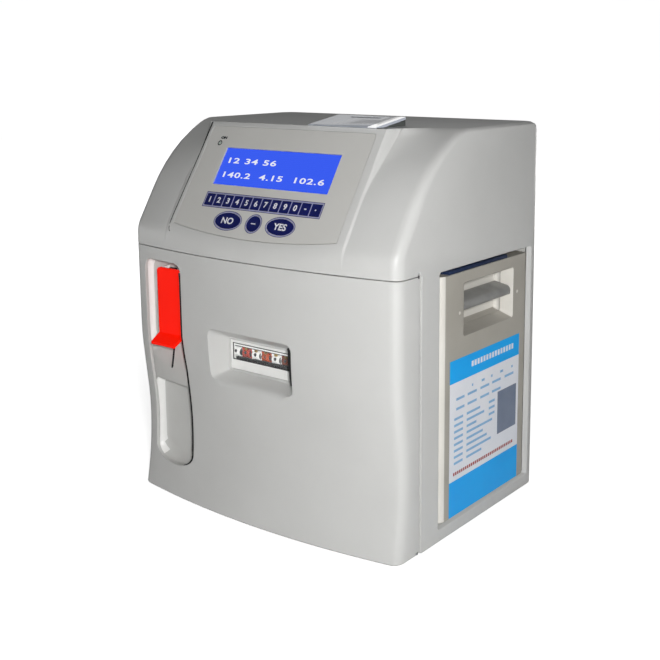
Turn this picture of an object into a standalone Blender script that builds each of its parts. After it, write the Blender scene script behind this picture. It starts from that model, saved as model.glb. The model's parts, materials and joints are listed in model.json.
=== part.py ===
# Electrolyte analyzer: a bench cabinet with a bowed, waisted front door, a sloped
# console with display and keys, a red sample flap with its needle, a window over the
# electrodes, a roll printer in the top and a pull-out reagent pack in the right side.
# Metres, +Z up, the front faces -Y, the origin lies on the floor under the middle.

import bmesh
import bpy
import math
from mathutils import Matrix, Vector

mm = 0.001

# Clearances that every piece shares
seat_gap = 0.3 * mm
seam_gap = 0.8 * mm
cut_over = 2.0 * mm

# Casing, the driving sizes
case_width = 300.0 * mm
case_front = -117.1 * mm
case_back = 120.0 * mm
case_bottom = 4.0 * mm
case_wall = 3.0 * mm
seam_z = 237.0 * mm
side_seam_y = -72.8 * mm
front_bow = 13.66 * mm
front_corner = 10.0 * mm
back_corner = 11.0 * mm
top_side_round = 4.0 * mm
top_back_round = 10.0 * mm

# Console: the flat pod in the middle and the cheeks that curl back beside it
pod_half = 98.2 * mm
pod_foot_rise = 10.6 * mm
pod_lean = math.radians(33.1)
pod_bend = 28.0 * mm
pod_edge = 4.0 * mm
pod_wall_run = 4.0 * mm
pod_wall_share = 0.45
cheek_foot_rise = 16.5 * mm
cheek_lean = math.radians(32.0)
cheek_bend = 25.0 * mm
cheek_arc_rise = 51.0 * mm
cheek_crest = math.radians(68.0)

# Door front: drawn in at the waist, then out again to the foot
waist_depth = 7.0 * mm
waist_z = 75.0 * mm
waist_top_z = 165.0 * mm
foot_flare_share = 1.1

# Door hinge, at the right edge
hinge_inset = 3.5 * mm
pin_radius = 1.5 * mm
pin_depth = 11.0 * mm

# Keypad overlay, in the pod's own plane: u across, v up the slope, w out of it
overlay_side = 5.9 * mm
overlay_low_v = 9.6 * mm
overlay_height = 105.9 * mm
overlay_border = 4.83 * mm
overlay_curl = 7.5 * mm
overlay_thickness = 0.8 * mm
overlay_round = 3.0 * mm

half_width = case_width / 2
pod_foot_z = seam_z + pod_foot_rise
cheek_foot_z = seam_z + cheek_foot_rise
cheek_arc_z = seam_z + cheek_arc_rise
overlay_half = pod_half - overlay_side
overlay_high_v = overlay_low_v + overlay_height
case_top = pod_foot_z + (overlay_high_v + overlay_border) * math.cos(pod_lean)
hinge_x = half_width - hinge_inset
hinge_y = side_seam_y - seam_gap / 2 - hinge_inset
door_back = side_seam_y - seam_gap / 2
door_top = seam_z - seam_gap / 2
round_steps = 5
ring_steps = 24
pin_steps = 12
bore_steps = 16
roll_steps = 28
tube_steps = 8
waist_steps = 15
bend_steps = 9
arc_steps = 6
edge_steps = 3
pod_side_steps = 5
cheek_side_steps = 3
door_side_steps = 6
overlay_side_steps = 10
track_steps = 14
slope_step = 1.0 * mm
start_share = 0.5
smooth_turn = math.radians(30.0)


# Materials

def linear(channel):
    if channel <= 0.04045:
        return channel / 12.92
    return ((channel + 0.055) / 1.055) ** 2.4


def finish(name, color, roughness, metallic=0.0, alpha=1.0):
    material = bpy.data.materials.new(name)
    material.use_nodes = True
    shader = material.node_tree.nodes["Principled BSDF"]
    rgb = [linear(channel / 255) for channel in bytes.fromhex(color)]
    shader.inputs["Base Color"].default_value = (*rgb, 1.0)
    shader.inputs["Roughness"].default_value = roughness
    shader.inputs["Metallic"].default_value = metallic
    shader.inputs["Alpha"].default_value = alpha
    return material


# Shapes

def keep(name, solid, material=None):
    bmesh.ops.recalc_face_normals(solid, faces=solid.faces)
    mesh = bpy.data.meshes.new(name)
    solid.to_mesh(mesh)
    solid.free()
    made = bpy.data.objects.new(name, mesh)
    bpy.context.scene.collection.objects.link(made)
    if material:
        mesh.materials.append(material)
    return made


def boolean(made, tool, operation):
    step = made.modifiers.new("step", "BOOLEAN")
    step.operation = operation
    step.solver = "EXACT"
    step.object = tool
    graph = bpy.context.evaluated_depsgraph_get()
    shaped = bpy.data.meshes.new_from_object(made.evaluated_get(graph))
    made.modifiers.remove(step)
    before = made.data
    made.data = shaped
    bpy.data.meshes.remove(before)
    bpy.data.objects.remove(tool)


def cut(made, *solids):
    for solid in solids:
        boolean(made, keep("cutter", solid), "DIFFERENCE")


def fuse(made, *solids):
    for solid in solids:
        boolean(made, keep("addition", solid), "UNION")


def limit(made, solid):
    boolean(made, keep("limit", solid), "INTERSECT")


def loft(rings):
    solid = bmesh.new()
    rows = [[solid.verts.new(point) for point in ring] for ring in rings]
    count = len(rows[0])
    for lower, upper in zip(rows, rows[1:]):
        for i in range(count):
            j = (i + 1) % count
            solid.faces.new((lower[i], lower[j], upper[j], upper[i]))
    solid.faces.new(rows[0][::-1])
    solid.faces.new(rows[-1])
    return solid


def at(axis, level, point):
    u, v = point
    if axis == "X":
        return Vector((level, u, v))
    if axis == "Y":
        return Vector((u, level, v))
    return Vector((u, v, level))


def prism(outline, axis, low, high):
    return loft([[at(axis, level, point) for point in outline] for level in (low, high)])


def drafted(axis, stations):
    return loft([[at(axis, level, point) for point in outline] for level, outline in stations])


def rectangle(low_u, high_u, low_v, high_v, radius=0.0):
    if radius <= 0:
        return [(low_u, low_v), (high_u, low_v), (high_u, high_v), (low_u, high_v)]
    centres = [(high_u - radius, high_v - radius), (low_u + radius, high_v - radius),
               (low_u + radius, low_v + radius), (high_u - radius, low_v + radius)]
    outline = []
    for quarter, (u, v) in enumerate(centres):
        for step in range(round_steps):
            angle = (quarter + step / (round_steps - 1)) * math.pi / 2
            outline.append((u + radius * math.cos(angle), v + radius * math.sin(angle)))
    return outline


def grown(box, by):
    low_u, high_u, low_v, high_v = box
    return low_u - by, high_u + by, low_v - by, high_v + by


def block(x, y, z):
    return prism(rectangle(*x, *y), "Z", *z)


def ellipse(u, v, radius_u, radius_v, steps=ring_steps):
    angles = [2 * math.pi * step / steps for step in range(steps)]
    return [(u + radius_u * math.cos(a), v + radius_v * math.sin(a)) for a in angles]


def turned(axis, centre, profile, steps=ring_steps):
    u, v = centre
    return drafted(axis, [(level, ellipse(u, v, r, r, steps)) for level, r in profile])


def rod(axis, centre, radius, low, high, steps=ring_steps):
    return turned(axis, centre, [(low, radius), (high, radius)], steps)


def pivot(made, point):
    made.data.transform(Matrix.Translation(-Vector(point)))
    made.location = point


def tube(path, radius):
    # a pipe along a path that stays in one upright plane
    across = Vector((0, 1, 0))
    rings = []
    for i, point in enumerate(path):
        before = path[max(i - 1, 0)]
        after = path[min(i + 1, len(path) - 1)]
        along = (after - before).normalized()
        side = along.cross(across).normalized()
        up = side.cross(along)
        angles = [2 * math.pi * step / tube_steps for step in range(tube_steps)]
        rings.append([point + radius * (side * math.cos(a) + up * math.sin(a)) for a in angles])
    return loft(rings)


# Outer form of the cabinet

def bow(x):
    return front_bow * (x / half_width) ** 2


def bend(height, lean, radius):
    # setback of a wall that turns from upright to a lean, height measured from the fold
    reach = radius * math.tan(lean / 2)
    if height <= -reach:
        return 0.0
    if height >= reach * math.cos(lean):
        return height * math.tan(lean)
    return radius - math.sqrt(radius ** 2 - (height + reach) ** 2)


def pod_y(x, z):
    fold = pod_foot_z + bow(x) / math.tan(pod_lean)
    return case_front + bow(x) + bend(z - fold, pod_lean, pod_bend)


def cheek_y(x, z):
    low = min(z, cheek_arc_z)
    setback = bend(low - cheek_foot_z, cheek_lean, cheek_bend)
    if z > cheek_arc_z:
        radius = (case_top - cheek_arc_z) / (math.sin(cheek_crest) - math.sin(cheek_lean))
        lean = math.asin(math.sin(cheek_lean) + (min(z, case_top) - cheek_arc_z) / radius)
        setback += radius * (math.cos(cheek_lean) - math.cos(lean))
    return case_front + bow(x) + setback


def waist(z):
    if z >= waist_top_z:
        return 0.0
    if z >= waist_z:
        share = (z - waist_z) / (waist_top_z - waist_z)
        return waist_depth * (1 + math.cos(math.pi * share)) / 2
    share = (waist_z - z) / (waist_z - case_bottom)
    return waist_depth * (1 - foot_flare_share * share ** 2)


def inward(front, x, z, inset):
    # front surface moved in by a wall, measured square to the surface
    slope = (front(x, z + slope_step) - front(x, z - slope_step)) / (2 * slope_step)
    return front(x, z) + inset * math.hypot(1, slope)


def eased(level, edge, radius):
    # how far a rounded edge has fallen in at this level
    over = min(max(level - (edge - radius), 0.0), radius)
    return radius - math.sqrt(radius ** 2 - over ** 2)


def mirrored(half):
    return [(-x, y) for x, y in reversed(half)] + half


def arc_corner(x, y, radius, front):
    # quarter turn from the front face into the side face, or from the side into the back
    points = []
    for step in range(round_steps):
        a = math.pi / 2 * step / (round_steps - 1)
        if front:
            points.append((x - radius + radius * math.sin(a), y + radius - radius * math.cos(a)))
        else:
            points.append((x - radius + radius * math.cos(a), y - radius + radius * math.sin(a)))
    return points


def cowl_ring(z, inset):
    top = case_top - inset
    width = half_width - inset - eased(z, top, top_side_round)
    back = case_back - inset - eased(z, top, top_back_round)
    corner = front_corner - inset / 2
    edge = pod_half - inset
    proud = max(cheek_y(pod_half, z) - pod_y(pod_half, z), 0.0)
    foot = edge + pod_wall_run + pod_wall_share * proud
    half = []
    for i in range(pod_side_steps):
        x = (edge - pod_edge) * (i + start_share) / (pod_side_steps - start_share)
        half.append((x, inward(pod_y, x, z, inset)))
    half.append((edge, inward(pod_y, edge, z, inset) + min(proud, pod_edge) / 4))
    for i in range(cheek_side_steps):
        x = foot + (width - corner - foot) * i / cheek_side_steps
        half.append((x, inward(cheek_y, x, z, inset)))
    half += arc_corner(width, inward(cheek_y, width - corner, z, inset), corner, True)
    half += arc_corner(width, back, back_corner - inset, False)
    return [Vector((x, y, z)) for x, y in mirrored(half)]


def door_front(x, z):
    return case_front + bow(x) + waist(z)


def door_ring(z, inset, back):
    width = half_width - inset
    corner = front_corner - inset / 2
    half = []
    for i in range(door_side_steps):
        x = (width - corner) * (i + start_share) / door_side_steps
        half.append((x, inward(door_front, x, z, inset)))
    half += arc_corner(width, inward(door_front, width - corner, z, inset), corner, True)
    half.append((width, back))
    return [Vector((x, y, z)) for x, y in mirrored(half)]


def spaced(low, high, count):
    return [low + (high - low) * i / (count - 1) for i in range(count)]


def door_levels(low, high):
    waist_levels = [z for z in spaced(case_bottom, waist_top_z, waist_steps) if low < z < high]
    return [low] + waist_levels + [high]


def cowl_levels(low, high):
    bend_levels = spaced(seam_z + cut_over, cheek_foot_z + cheek_bend / 2, bend_steps)
    arc_levels = spaced(cheek_arc_z, case_top - top_back_round, arc_steps)
    edge_levels = spaced(case_top - top_side_round, case_top - seat_gap, edge_steps)
    inner = [z for z in bend_levels + arc_levels + edge_levels if low < z < high - seat_gap / 2]
    return [low] + inner + [high]


# Main casing

bay_front_border = 25.3 * mm
bay_back_border = 21.5 * mm
bay_rise = 13.5 * mm
bay_drop = 1.7 * mm
bay_depth = 100.0 * mm
bay_lip_back = 7.5 * mm
bay_lip_bottom = 2.8 * mm
bay_lip_depth = 5.0 * mm
bay_round = 2.5 * mm
boss_length = 10.0 * mm
boss_width = 9.0 * mm
notch_height = 3.0 * mm
rear_side = 20.0 * mm
rear_bay_gap = 14.0 * mm
rear_low_z = 22.0 * mm
rear_drop = 21.0 * mm
rear_round = 6.0 * mm

bay_low_y = side_seam_y + bay_front_border
bay_high_y = case_back - bay_back_border
bay_low_z = case_bottom + bay_rise
bay_high_z = seam_z - bay_drop
bay_back_x = half_width - bay_depth
rear_low_x = rear_side - half_width
rear_high_x = bay_back_x - rear_bay_gap
rear_high_z = seam_z - rear_drop

# Openings in the console, in the pod's own plane
key_row_rise = 26.6 * mm
key_row_height = 13.6 * mm
display_side = 26.8 * mm
display_gap = 8.2 * mm
display_height = 36.7 * mm
led_side = 11.0 * mm
led_drop = 16.9 * mm
led_radius = 1.6 * mm

display_half = overlay_half - display_side
key_row_low_v = overlay_low_v + key_row_rise
key_row_high_v = key_row_low_v + key_row_height
display_low_v = key_row_high_v + display_gap
display_high_v = display_low_v + display_height
led_u = -display_half - led_side
led_v = overlay_high_v - led_drop

# Printer place in the top
printer_x = 55.0 * mm
printer_width = 72.0 * mm
printer_length = 40.4 * mm
printer_lip = 1.5 * mm
rebate_side = 2.2 * mm
rebate_front = 1.4 * mm
rebate_back = 2.6 * mm
rebate_depth = 1.2 * mm
printer_box_side = 5.0 * mm
printer_box_front = 4.0 * mm
printer_box_back = 1.0 * mm

panel_place = Matrix.Translation((0, case_front, pod_foot_z)) @ Matrix((
    (1, 0, 0),
    (0, math.sin(pod_lean), -math.cos(pod_lean)),
    (0, math.cos(pod_lean), math.sin(pod_lean)))).to_4x4()


def on_panel(solid):
    solid.transform(panel_place)
    return solid


def overlay_outline(by=0.0):
    # straight sides and top, bowed lower edge
    half = overlay_half + by
    outline = []
    for i in range(overlay_side_steps + 1):
        u = -half + 2 * half * i / overlay_side_steps
        outline.append((u, overlay_low_v - by + overlay_curl * (u / half) ** 2))
    top = overlay_high_v + by
    radius = overlay_round
    for step in range(round_steps):
        a = math.pi / 2 * step / (round_steps - 1)
        outline.append((half - radius + radius * math.cos(a), top - radius + radius * math.sin(a)))
    for step in range(round_steps):
        a = math.pi / 2 * (1 + step / (round_steps - 1))
        outline.append((-half + radius + radius * math.cos(a), top - radius + radius * math.sin(a)))
    return outline


def main_casing():
    casing = keep("main_casing", loft([cowl_ring(z, 0.0) for z in cowl_levels(case_bottom, case_top)]),
                  finish("warm gray moulding", "D2D2CC", 0.45))
    room_top = case_top - case_wall
    room = [cowl_ring(z, case_wall) for z in cowl_levels(case_bottom - cut_over, room_top)]
    cut(casing, loft(room))
    outer = (-half_width - cut_over, half_width + cut_over)
    cut(casing, block(outer, (case_front - front_bow, side_seam_y + seam_gap / 2),
                      (case_bottom - cut_over, seam_z + seam_gap / 2)))
    boss_y = (hinge_y - boss_width / 2, side_seam_y - seam_gap / 2)
    fuse(casing, block((hinge_x - boss_width / 2, half_width - case_wall / 2), boss_y,
                       (seam_z + seam_gap / 2, seam_z + seam_gap / 2 + boss_length)))
    cut(casing, rod("Z", (hinge_x, hinge_y), pin_radius + seat_gap, seam_z - cut_over,
                    seam_z + boss_length - cut_over))
    cut(casing, block((hinge_x, half_width + cut_over), (hinge_y - pin_radius, hinge_y + pin_radius),
                      (seam_z - cut_over, seam_z + notch_height)))
    cut(casing, bay_cutter())
    cut(casing, prism(rectangle(rear_low_x, rear_high_x, rear_low_z, rear_high_z, rear_round), "Y",
                      case_back - case_wall - cut_over, case_back + cut_over))
    cut(casing, printer_rebate())
    cut(casing, printer_hole())
    recess = overlay_thickness + seat_gap
    cut(casing, on_panel(prism(overlay_outline(seat_gap), "Z", -recess, cut_over)))
    cut(casing, on_panel(block((-display_half - 2 * seat_gap, display_half + 2 * seat_gap),
                               (display_low_v - 2 * seat_gap, display_high_v + 2 * seat_gap),
                               (-case_wall - cut_over, cut_over))))
    cut(casing, on_panel(rod("Z", (led_u, led_v), led_radius + seat_gap, -case_wall - cut_over, cut_over)))
    return casing


def bay_cutter():
    outer = (bay_low_y, bay_high_y + bay_lip_back, bay_low_z - bay_lip_bottom, bay_high_z)
    inner = (bay_low_y, bay_high_y, bay_low_z, bay_high_z)
    mouth = rectangle(*outer, bay_round)
    throat = rectangle(*inner, bay_round)
    return drafted("X", [(half_width - 2 * bay_lip_depth, throat), (half_width - bay_lip_depth, throat),
                         (half_width, mouth), (half_width + cut_over, mouth)])


def console_edge():
    # where the console's slope meets the flat top
    return case_front + (case_top - pod_foot_z) * math.tan(pod_lean)


def printer_seat(by):
    # plan of the printer's flange in its rebate: x range and y range
    half = printer_width / 2 - rebate_side + by
    front = console_edge() + rebate_front - by
    return (printer_x - half, printer_x + half), (front, console_edge() + printer_length + rebate_back + by)


def printer_box():
    # plan of the printer's body below its flange: x range and y range
    (low_x, high_x), (low_y, high_y) = printer_seat(0.0)
    return ((low_x + printer_box_side, high_x - printer_box_side),
            (low_y + printer_box_front, high_y - printer_box_back))


def printer_rebate():
    return block(*printer_seat(seat_gap), (case_top - rebate_depth, case_top + cut_over))


def printer_hole():
    (low_x, high_x), (low_y, high_y) = printer_box()
    return block((low_x - seat_gap, high_x + seat_gap), (low_y - seat_gap, high_y + seat_gap),
                 (case_top - case_wall - cut_over, case_top + cut_over))


# Base plate, feet, bulkhead, rear panel

base_top = 9.0 * mm
base_thickness = 2.5 * mm
base_rim = 5.0 * mm
base_rim_wall = 2.0 * mm
bulkhead_thickness = 2.0 * mm
bulkhead_gap = 0.9 * mm
bulkhead_rise = 9.0 * mm
foot_radius = 9.5 * mm
foot_taper = 1.0 * mm
foot_inset_x = 34.0 * mm
foot_inset_y = 24.0 * mm
rear_panel_thickness = 1.5 * mm
rear_panel_border = 6.0 * mm
vent_width = 52.0 * mm
vent_height = 2.6 * mm
vent_pitch = 6.0 * mm
vent_count = 9
vent_side = 38.0 * mm
vent_drop = 64.0 * mm

vent_x = rear_low_x + vent_side
vent_z = rear_high_z - vent_drop
base_bottom = base_top - base_thickness
inner_half = half_width - case_wall - seat_gap
inner_back = case_back - case_wall - seat_gap
bulkhead_front = door_back + bulkhead_gap
bulkhead_back = bulkhead_front + bulkhead_thickness
rear_panel_front = inner_back - rear_panel_thickness


def base_plate():
    front = bulkhead_back + seat_gap
    steel = finish("zinc plated steel", "A9ACAE", 0.4, 0.9)
    back = rear_panel_front - seat_gap
    plan = (-inner_half, inner_half, front, back)
    corner = back_corner - case_wall
    base = keep("base_plate", prism(rectangle(*plan, corner), "Z", base_bottom, base_top + base_rim), steel)
    room = rectangle(*grown(plan, -base_rim_wall), corner - base_rim_wall)
    cut(base, prism(room, "Z", base_top, base_top + base_rim + cut_over))
    return base


def rubber_feet():
    top = base_bottom - seat_gap
    profile = [(0.0, foot_radius - foot_taper), (foot_taper, foot_radius), (top, foot_radius - foot_taper)]
    rubber = finish("black rubber", "1C1C1C", 0.8)
    left = -half_width + foot_inset_x
    right = half_width - foot_inset_x
    front = bulkhead_back + foot_inset_y
    rear = case_back - foot_inset_y
    keep("foot_front_left", turned("Z", (left, front), profile, bore_steps), rubber)
    keep("foot_front_right", turned("Z", (right, front), profile, bore_steps), rubber)
    keep("foot_rear_left", turned("Z", (left, rear), profile, bore_steps), rubber)
    keep("foot_rear_right", turned("Z", (right, rear), profile, bore_steps), rubber)


def bulkhead():
    plate = keep("bulkhead", block((-inner_half, inner_half), (bulkhead_front, bulkhead_back),
                                   (base_bottom, seam_z + bulkhead_rise)),
                 finish("painted steel", "9A9C9C", 0.5, 0.3))
    cut(plate, rod("Y", (pump_x, pump_z), motor_radius + seat_gap, bulkhead_front - cut_over,
                   bulkhead_back + cut_over))
    return plate


def rear_panel():
    place = grown((rear_low_x, rear_high_x, rear_low_z, rear_high_z), rear_panel_border)
    panel = keep("rear_panel", prism(rectangle(*place, rear_round), "Y", rear_panel_front, inner_back),
                 finish("textured sheet steel", "8E9294", 0.55, 0.4))
    through = (rear_panel_front - cut_over, inner_back + cut_over)
    for i in range(vent_count):
        z = vent_z + vent_pitch * (i - vent_count / 2)
        cut(panel, block((vent_x - vent_width / 2, vent_x + vent_width / 2), through, (z, z + vent_height)))
    cut(panel, prism(rectangle(*grown(inlet_body(), seat_gap)), "Y", *through))
    return panel


# Mains inlet with its rocker switch, in the rear panel

inlet_side = 56.0 * mm
inlet_z = 62.0 * mm
inlet_width = 32.0 * mm
inlet_height = 66.0 * mm
inlet_flange = 1.4 * mm
inlet_border = 2.5 * mm
inlet_depth = 24.0 * mm
socket_width = 20.0 * mm
socket_height = 14.0 * mm
socket_depth = 15.0 * mm
socket_drop = 14.0 * mm
blade_width = 2.0 * mm
blade_height = 4.0 * mm
blade_pitch = 7.0 * mm
rocker_rise = 17.0 * mm
rocker_half_width = 9.5 * mm
rocker_half_height = 12.0 * mm
rocker_swing = math.radians(14.0)
rocker_depth = 9.0 * mm
rocker_proud = 0.8 * mm

inlet_x = rear_high_x - inlet_side


def inlet_body():
    half_u = inlet_width / 2 - inlet_border
    half_v = inlet_height / 2 - inlet_border
    return inlet_x - half_u, inlet_x + half_u, inlet_z - half_v, inlet_z + half_v


def power_inlet():
    face = inner_back + seat_gap
    black = finish("black nylon", "1E1E20", 0.5)
    inlet = keep("power_inlet", prism(rectangle(*inlet_body()), "Y", inner_back - inlet_depth, face), black)
    fuse(inlet, prism(rectangle(*grown(inlet_body(), inlet_border), inlet_border), "Y", face - seat_gap / 3,
                      face + inlet_flange))
    top = face + inlet_flange + cut_over
    z = inlet_z - socket_drop
    half_u = socket_width / 2
    half_v = socket_height / 2
    mouth = [(inlet_x - half_u, z - half_v), (inlet_x + half_u, z - half_v),
             (inlet_x + half_u, z + half_v / 2), (inlet_x + half_u / 2, z + half_v),
             (inlet_x - half_u / 2, z + half_v), (inlet_x - half_u, z + half_v / 2)]
    cut(inlet, prism(mouth, "Y", inner_back - socket_depth, top))
    for i in (-1, 0, 1):
        x = inlet_x + i * blade_pitch
        rise = blade_height / 2 if i == 0 else 0.0
        fuse(inlet, block((x - blade_width / 2, x + blade_width / 2),
                          (inner_back - socket_depth - seat_gap, inner_back - seam_gap),
                          (z - blade_height / 2 + rise, z + blade_height / 2 + rise)))
    z = inlet_z + rocker_rise
    room = grown((inlet_x - rocker_half_width, inlet_x + rocker_half_width,
                  z - rocker_half_height, z + rocker_half_height), 2 * seat_gap)
    cut(inlet, prism(rectangle(*room), "Y", face - rocker_depth - rocker_proud, top))
    return inlet


def power_switch():
    # a rocker that stands with its lower half pressed in, and tips about X
    face = inner_back + seat_gap + inlet_flange
    z = inlet_z + rocker_rise
    pivot_y = face - rocker_depth / 2
    reach = rocker_depth / 2 + rocker_proud
    high = rocker_half_height - 3 * seat_gap
    tip = high * math.sin(rocker_swing)
    outline = [(pivot_y - reach / 2, z - high / 2), (pivot_y + reach - tip, z - high),
               (pivot_y + reach - tip / 2, z), (pivot_y + reach, z + high),
               (pivot_y - reach / 2, z + high / 2)]
    side = (inlet_x - rocker_half_width, inlet_x + rocker_half_width)
    rocker = keep("power_switch", prism(outline, "X", *side), finish("black glossy nylon", "151517", 0.3))
    pivot(rocker, (inlet_x, pivot_y, z))
    return rocker


# Front door

door_wall = 3.0 * mm
door_foot_round = 1.2 * mm
well_side = 15.5 * mm
well_width = 53.8 * mm
well_flare = 3.1 * mm
well_rise = 28.3 * mm
well_drop = 11.5 * mm
well_round = 9.0 * mm
well_foot = 14.0 * mm
foot_steps = 12
window_side = 33.7 * mm
window_width = 97.5 * mm
window_drop = 61.5 * mm
window_height = 48.5 * mm
window_round = 7.0 * mm
window_draft_side = 6.5 * mm
window_draft_top = 12.5 * mm
window_draft_bottom = 5.5 * mm
window_depth = 21.6 * mm
window_wall = 2.4 * mm
window_border = 2.0 * mm
lens_sill = 8.5 * mm
lens_border = 2.2 * mm
lens_thickness = 1.5 * mm
bracket_width = 16.5 * mm
bracket_reach = 19.5 * mm
bracket_thickness = 2.0 * mm
bracket_eye = 3.0 * mm

# The flap's place in the channel drives the channel's own levels
flap_side = 18.5 * mm
flap_width = 30.0 * mm
flap_drop = 6.5 * mm
flap_height = 60.5 * mm
flare_rise = 1.5 * mm
flare_fall = 28.5 * mm

well_low_x = well_side - half_width
well_high_x = well_low_x + well_width
well_low_z = case_bottom + well_rise
well_high_z = seam_z - well_drop
window_low_x = well_high_x + window_side
window_high_x = window_low_x + window_width
window_high_z = seam_z - window_drop
window_low_z = window_high_z - window_height
window_floor = case_front + window_depth
bracket_low_x = hinge_x - bracket_width
bracket_back = bulkhead_back + bracket_reach
flap_low_x = well_low_x + flap_side
flap_high_x = flap_low_x + flap_width
flap_top = well_high_z - flap_drop
flap_bend_z = flap_top - flap_height


def window_mouth():
    return window_low_x, window_high_x, window_low_z, window_high_z


def window_inside():
    return (window_low_x + window_draft_side, window_high_x - window_draft_side,
            window_low_z + window_draft_bottom, window_high_z - window_draft_top)


def window_pocket(by, floor):
    front = case_front - cut_over
    mouth = rectangle(*grown(window_mouth(), by), window_round)
    inside = rectangle(*grown(window_inside(), by), window_round / 3)
    return drafted("Y", [(front, mouth), (floor, inside)])


def foot_arc(low_x, high_x, low_z, depth):
    # half an ellipse from the left edge round under to the right edge
    middle = (low_x + high_x) / 2
    half = (high_x - low_x) / 2
    angles = [math.pi * (1 + step / foot_steps) for step in range(foot_steps + 1)]
    return [(middle + half * math.cos(a), low_z + depth + depth * math.sin(a)) for a in angles]


def head_arcs(low_x, high_x, high_z, radius):
    # the two round upper corners, right one first
    outline = []
    for quarter, x in enumerate((high_x - radius, low_x + radius)):
        for step in range(round_steps):
            a = (quarter + step / (round_steps - 1)) * math.pi / 2
            outline.append((x + radius * math.cos(a), high_z - radius + radius * math.sin(a)))
    return outline


def channel_outline():
    # cut-out round the sample well: wider to the right below the flap
    wide = well_high_x + well_flare
    sides = [(wide, flap_bend_z - flare_fall), (well_high_x, flap_bend_z + flare_rise)]
    return head_arcs(well_low_x, well_high_x, well_high_z, well_round) + foot_arc(
        well_low_x, wide, well_low_z, well_foot) + sides


def front_door():
    door = keep("front_door", door_outside(), finish("warm gray moulding", "D0D0CB", 0.45))
    levels = door_levels(case_bottom + door_wall, door_top - door_wall)
    cut(door, loft([door_ring(z, door_wall, door_back + cut_over) for z in levels]))
    pocket = keep("pocket", window_pocket(window_wall, window_floor + window_wall))
    limit(pocket, door_outside())
    boolean(door, pocket, "UNION")
    cut(door, block((hinge_x - hinge_inset, half_width + cut_over), (hinge_y, door_back + cut_over),
                    (case_bottom - cut_over, door_top + cut_over)))
    fuse(door, rod("Z", (hinge_x, hinge_y), hinge_inset, case_bottom, door_top))
    cut(door, window_pocket(0.0, window_floor))
    cut(door, prism(rectangle(*grown(window_inside(), -window_border)), "Y", window_floor - cut_over,
                    window_floor + window_wall + cut_over))
    cut(door, prism(channel_outline(), "Y", case_front - cut_over, door_back + cut_over))
    bore = pin_radius + seat_gap
    cut(door, rod("Z", (hinge_x, hinge_y), bore, door_top - pin_depth - seam_gap, door_top + cut_over))
    cut(door, rod("Z", (hinge_x, hinge_y), bore, case_bottom - cut_over, case_bottom + pin_depth + seam_gap))
    notch_top = case_bottom + door_wall + seat_gap
    cut(door, block((bracket_low_x - seam_gap, half_width + cut_over),
                    (hinge_y - bracket_eye - seam_gap, door_back + cut_over),
                    (case_bottom - cut_over, notch_top)))
    pivot(door, (hinge_x, hinge_y, case_bottom))
    return door


def door_outside():
    levels = door_levels(case_bottom + door_foot_round, door_top)
    rings = [door_ring(case_bottom, door_foot_round, door_back)]
    rings += [door_ring(z, 0.0, door_back) for z in levels]
    return loft(rings)


def hinge_bracket():
    # a tongue under the base plate, with the door's lower pin riveted to its end
    top = base_bottom - seat_gap
    low = top - bracket_thickness
    bracket = keep("hinge_bracket", block((bracket_low_x, inner_half), (hinge_y, bracket_back), (low, top)),
                   finish("bright steel", "B5B8BA", 0.35, 1.0))
    fuse(bracket, rod("Z", (hinge_x, hinge_y), bracket_eye, low, top))
    fuse(bracket, rod("Z", (hinge_x, hinge_y), pin_radius, low + bracket_thickness / 2,
                      case_bottom + pin_depth, pin_steps))
    return bracket


def hinge_pin():
    top = seam_z + boss_length - 2 * cut_over
    return keep("hinge_pin", rod("Z", (hinge_x, hinge_y), pin_radius, door_top - pin_depth, top, pin_steps),
                finish("polished steel", "C4C6C8", 0.2, 1.0))


def flap_pin():
    return keep("flap_pin", rod("X", (flap_pin_y, flap_pin_z), flap_pin_radius, flap_low_x + seat_gap,
                                flap_high_x - seat_gap, pin_steps),
                finish("bright steel rod", "C4C6C8", 0.2, 1.0))


def window_frame():
    opening = grown(window_inside(), -window_border - seat_gap)
    back = window_floor + window_wall
    frame = keep("window_frame", prism(rectangle(*opening), "Y", window_floor + seat_gap, back),
                 finish("light gray moulding", "C9C9C5", 0.4))
    flange = grown(window_inside(), -window_border + seam_gap)
    fuse(frame, prism(rectangle(*flange), "Y", back + seat_gap, back + seat_gap + seam_gap))
    fuse(frame, prism(rectangle(*opening), "Y", back - seat_gap, back + seat_gap + seam_gap / 2))
    cut(frame, prism(rectangle(*lens_place(0.0)), "Y", window_floor - cut_over, back + 2 * cut_over))
    return frame


def lens_place(by):
    low_x, high_x, low_z, high_z = grown(window_inside(), -window_border - seat_gap)
    place = (low_x + lens_border, high_x - lens_border, low_z + lens_sill, high_z - lens_border)
    return grown(place, by)


def window_lens():
    front = window_floor + seat_gap + lens_thickness / 3
    return keep("window_lens", prism(rectangle(*lens_place(-seat_gap)), "Y", front, front + lens_thickness),
                finish("clear acrylic", "EEF2F4", 0.05, 0.0, 0.3))


# Door catch, beside the door's left return

catch_width = 10.0 * mm
catch_reach = 12.0 * mm
catch_height = 12.0 * mm
catch_gap = 0.8 * mm


def door_magnet():
    side = -half_width + door_wall + catch_gap
    back = bulkhead_front - seat_gap
    return keep("door_magnet", block((side, side + catch_width), (back - catch_reach, back),
                                     (base_top, base_top + catch_height)),
                finish("ferrite in black nylon", "242426", 0.6))


# Sample well behind the door's cut-out, with the flap, its arm and the needle

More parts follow.
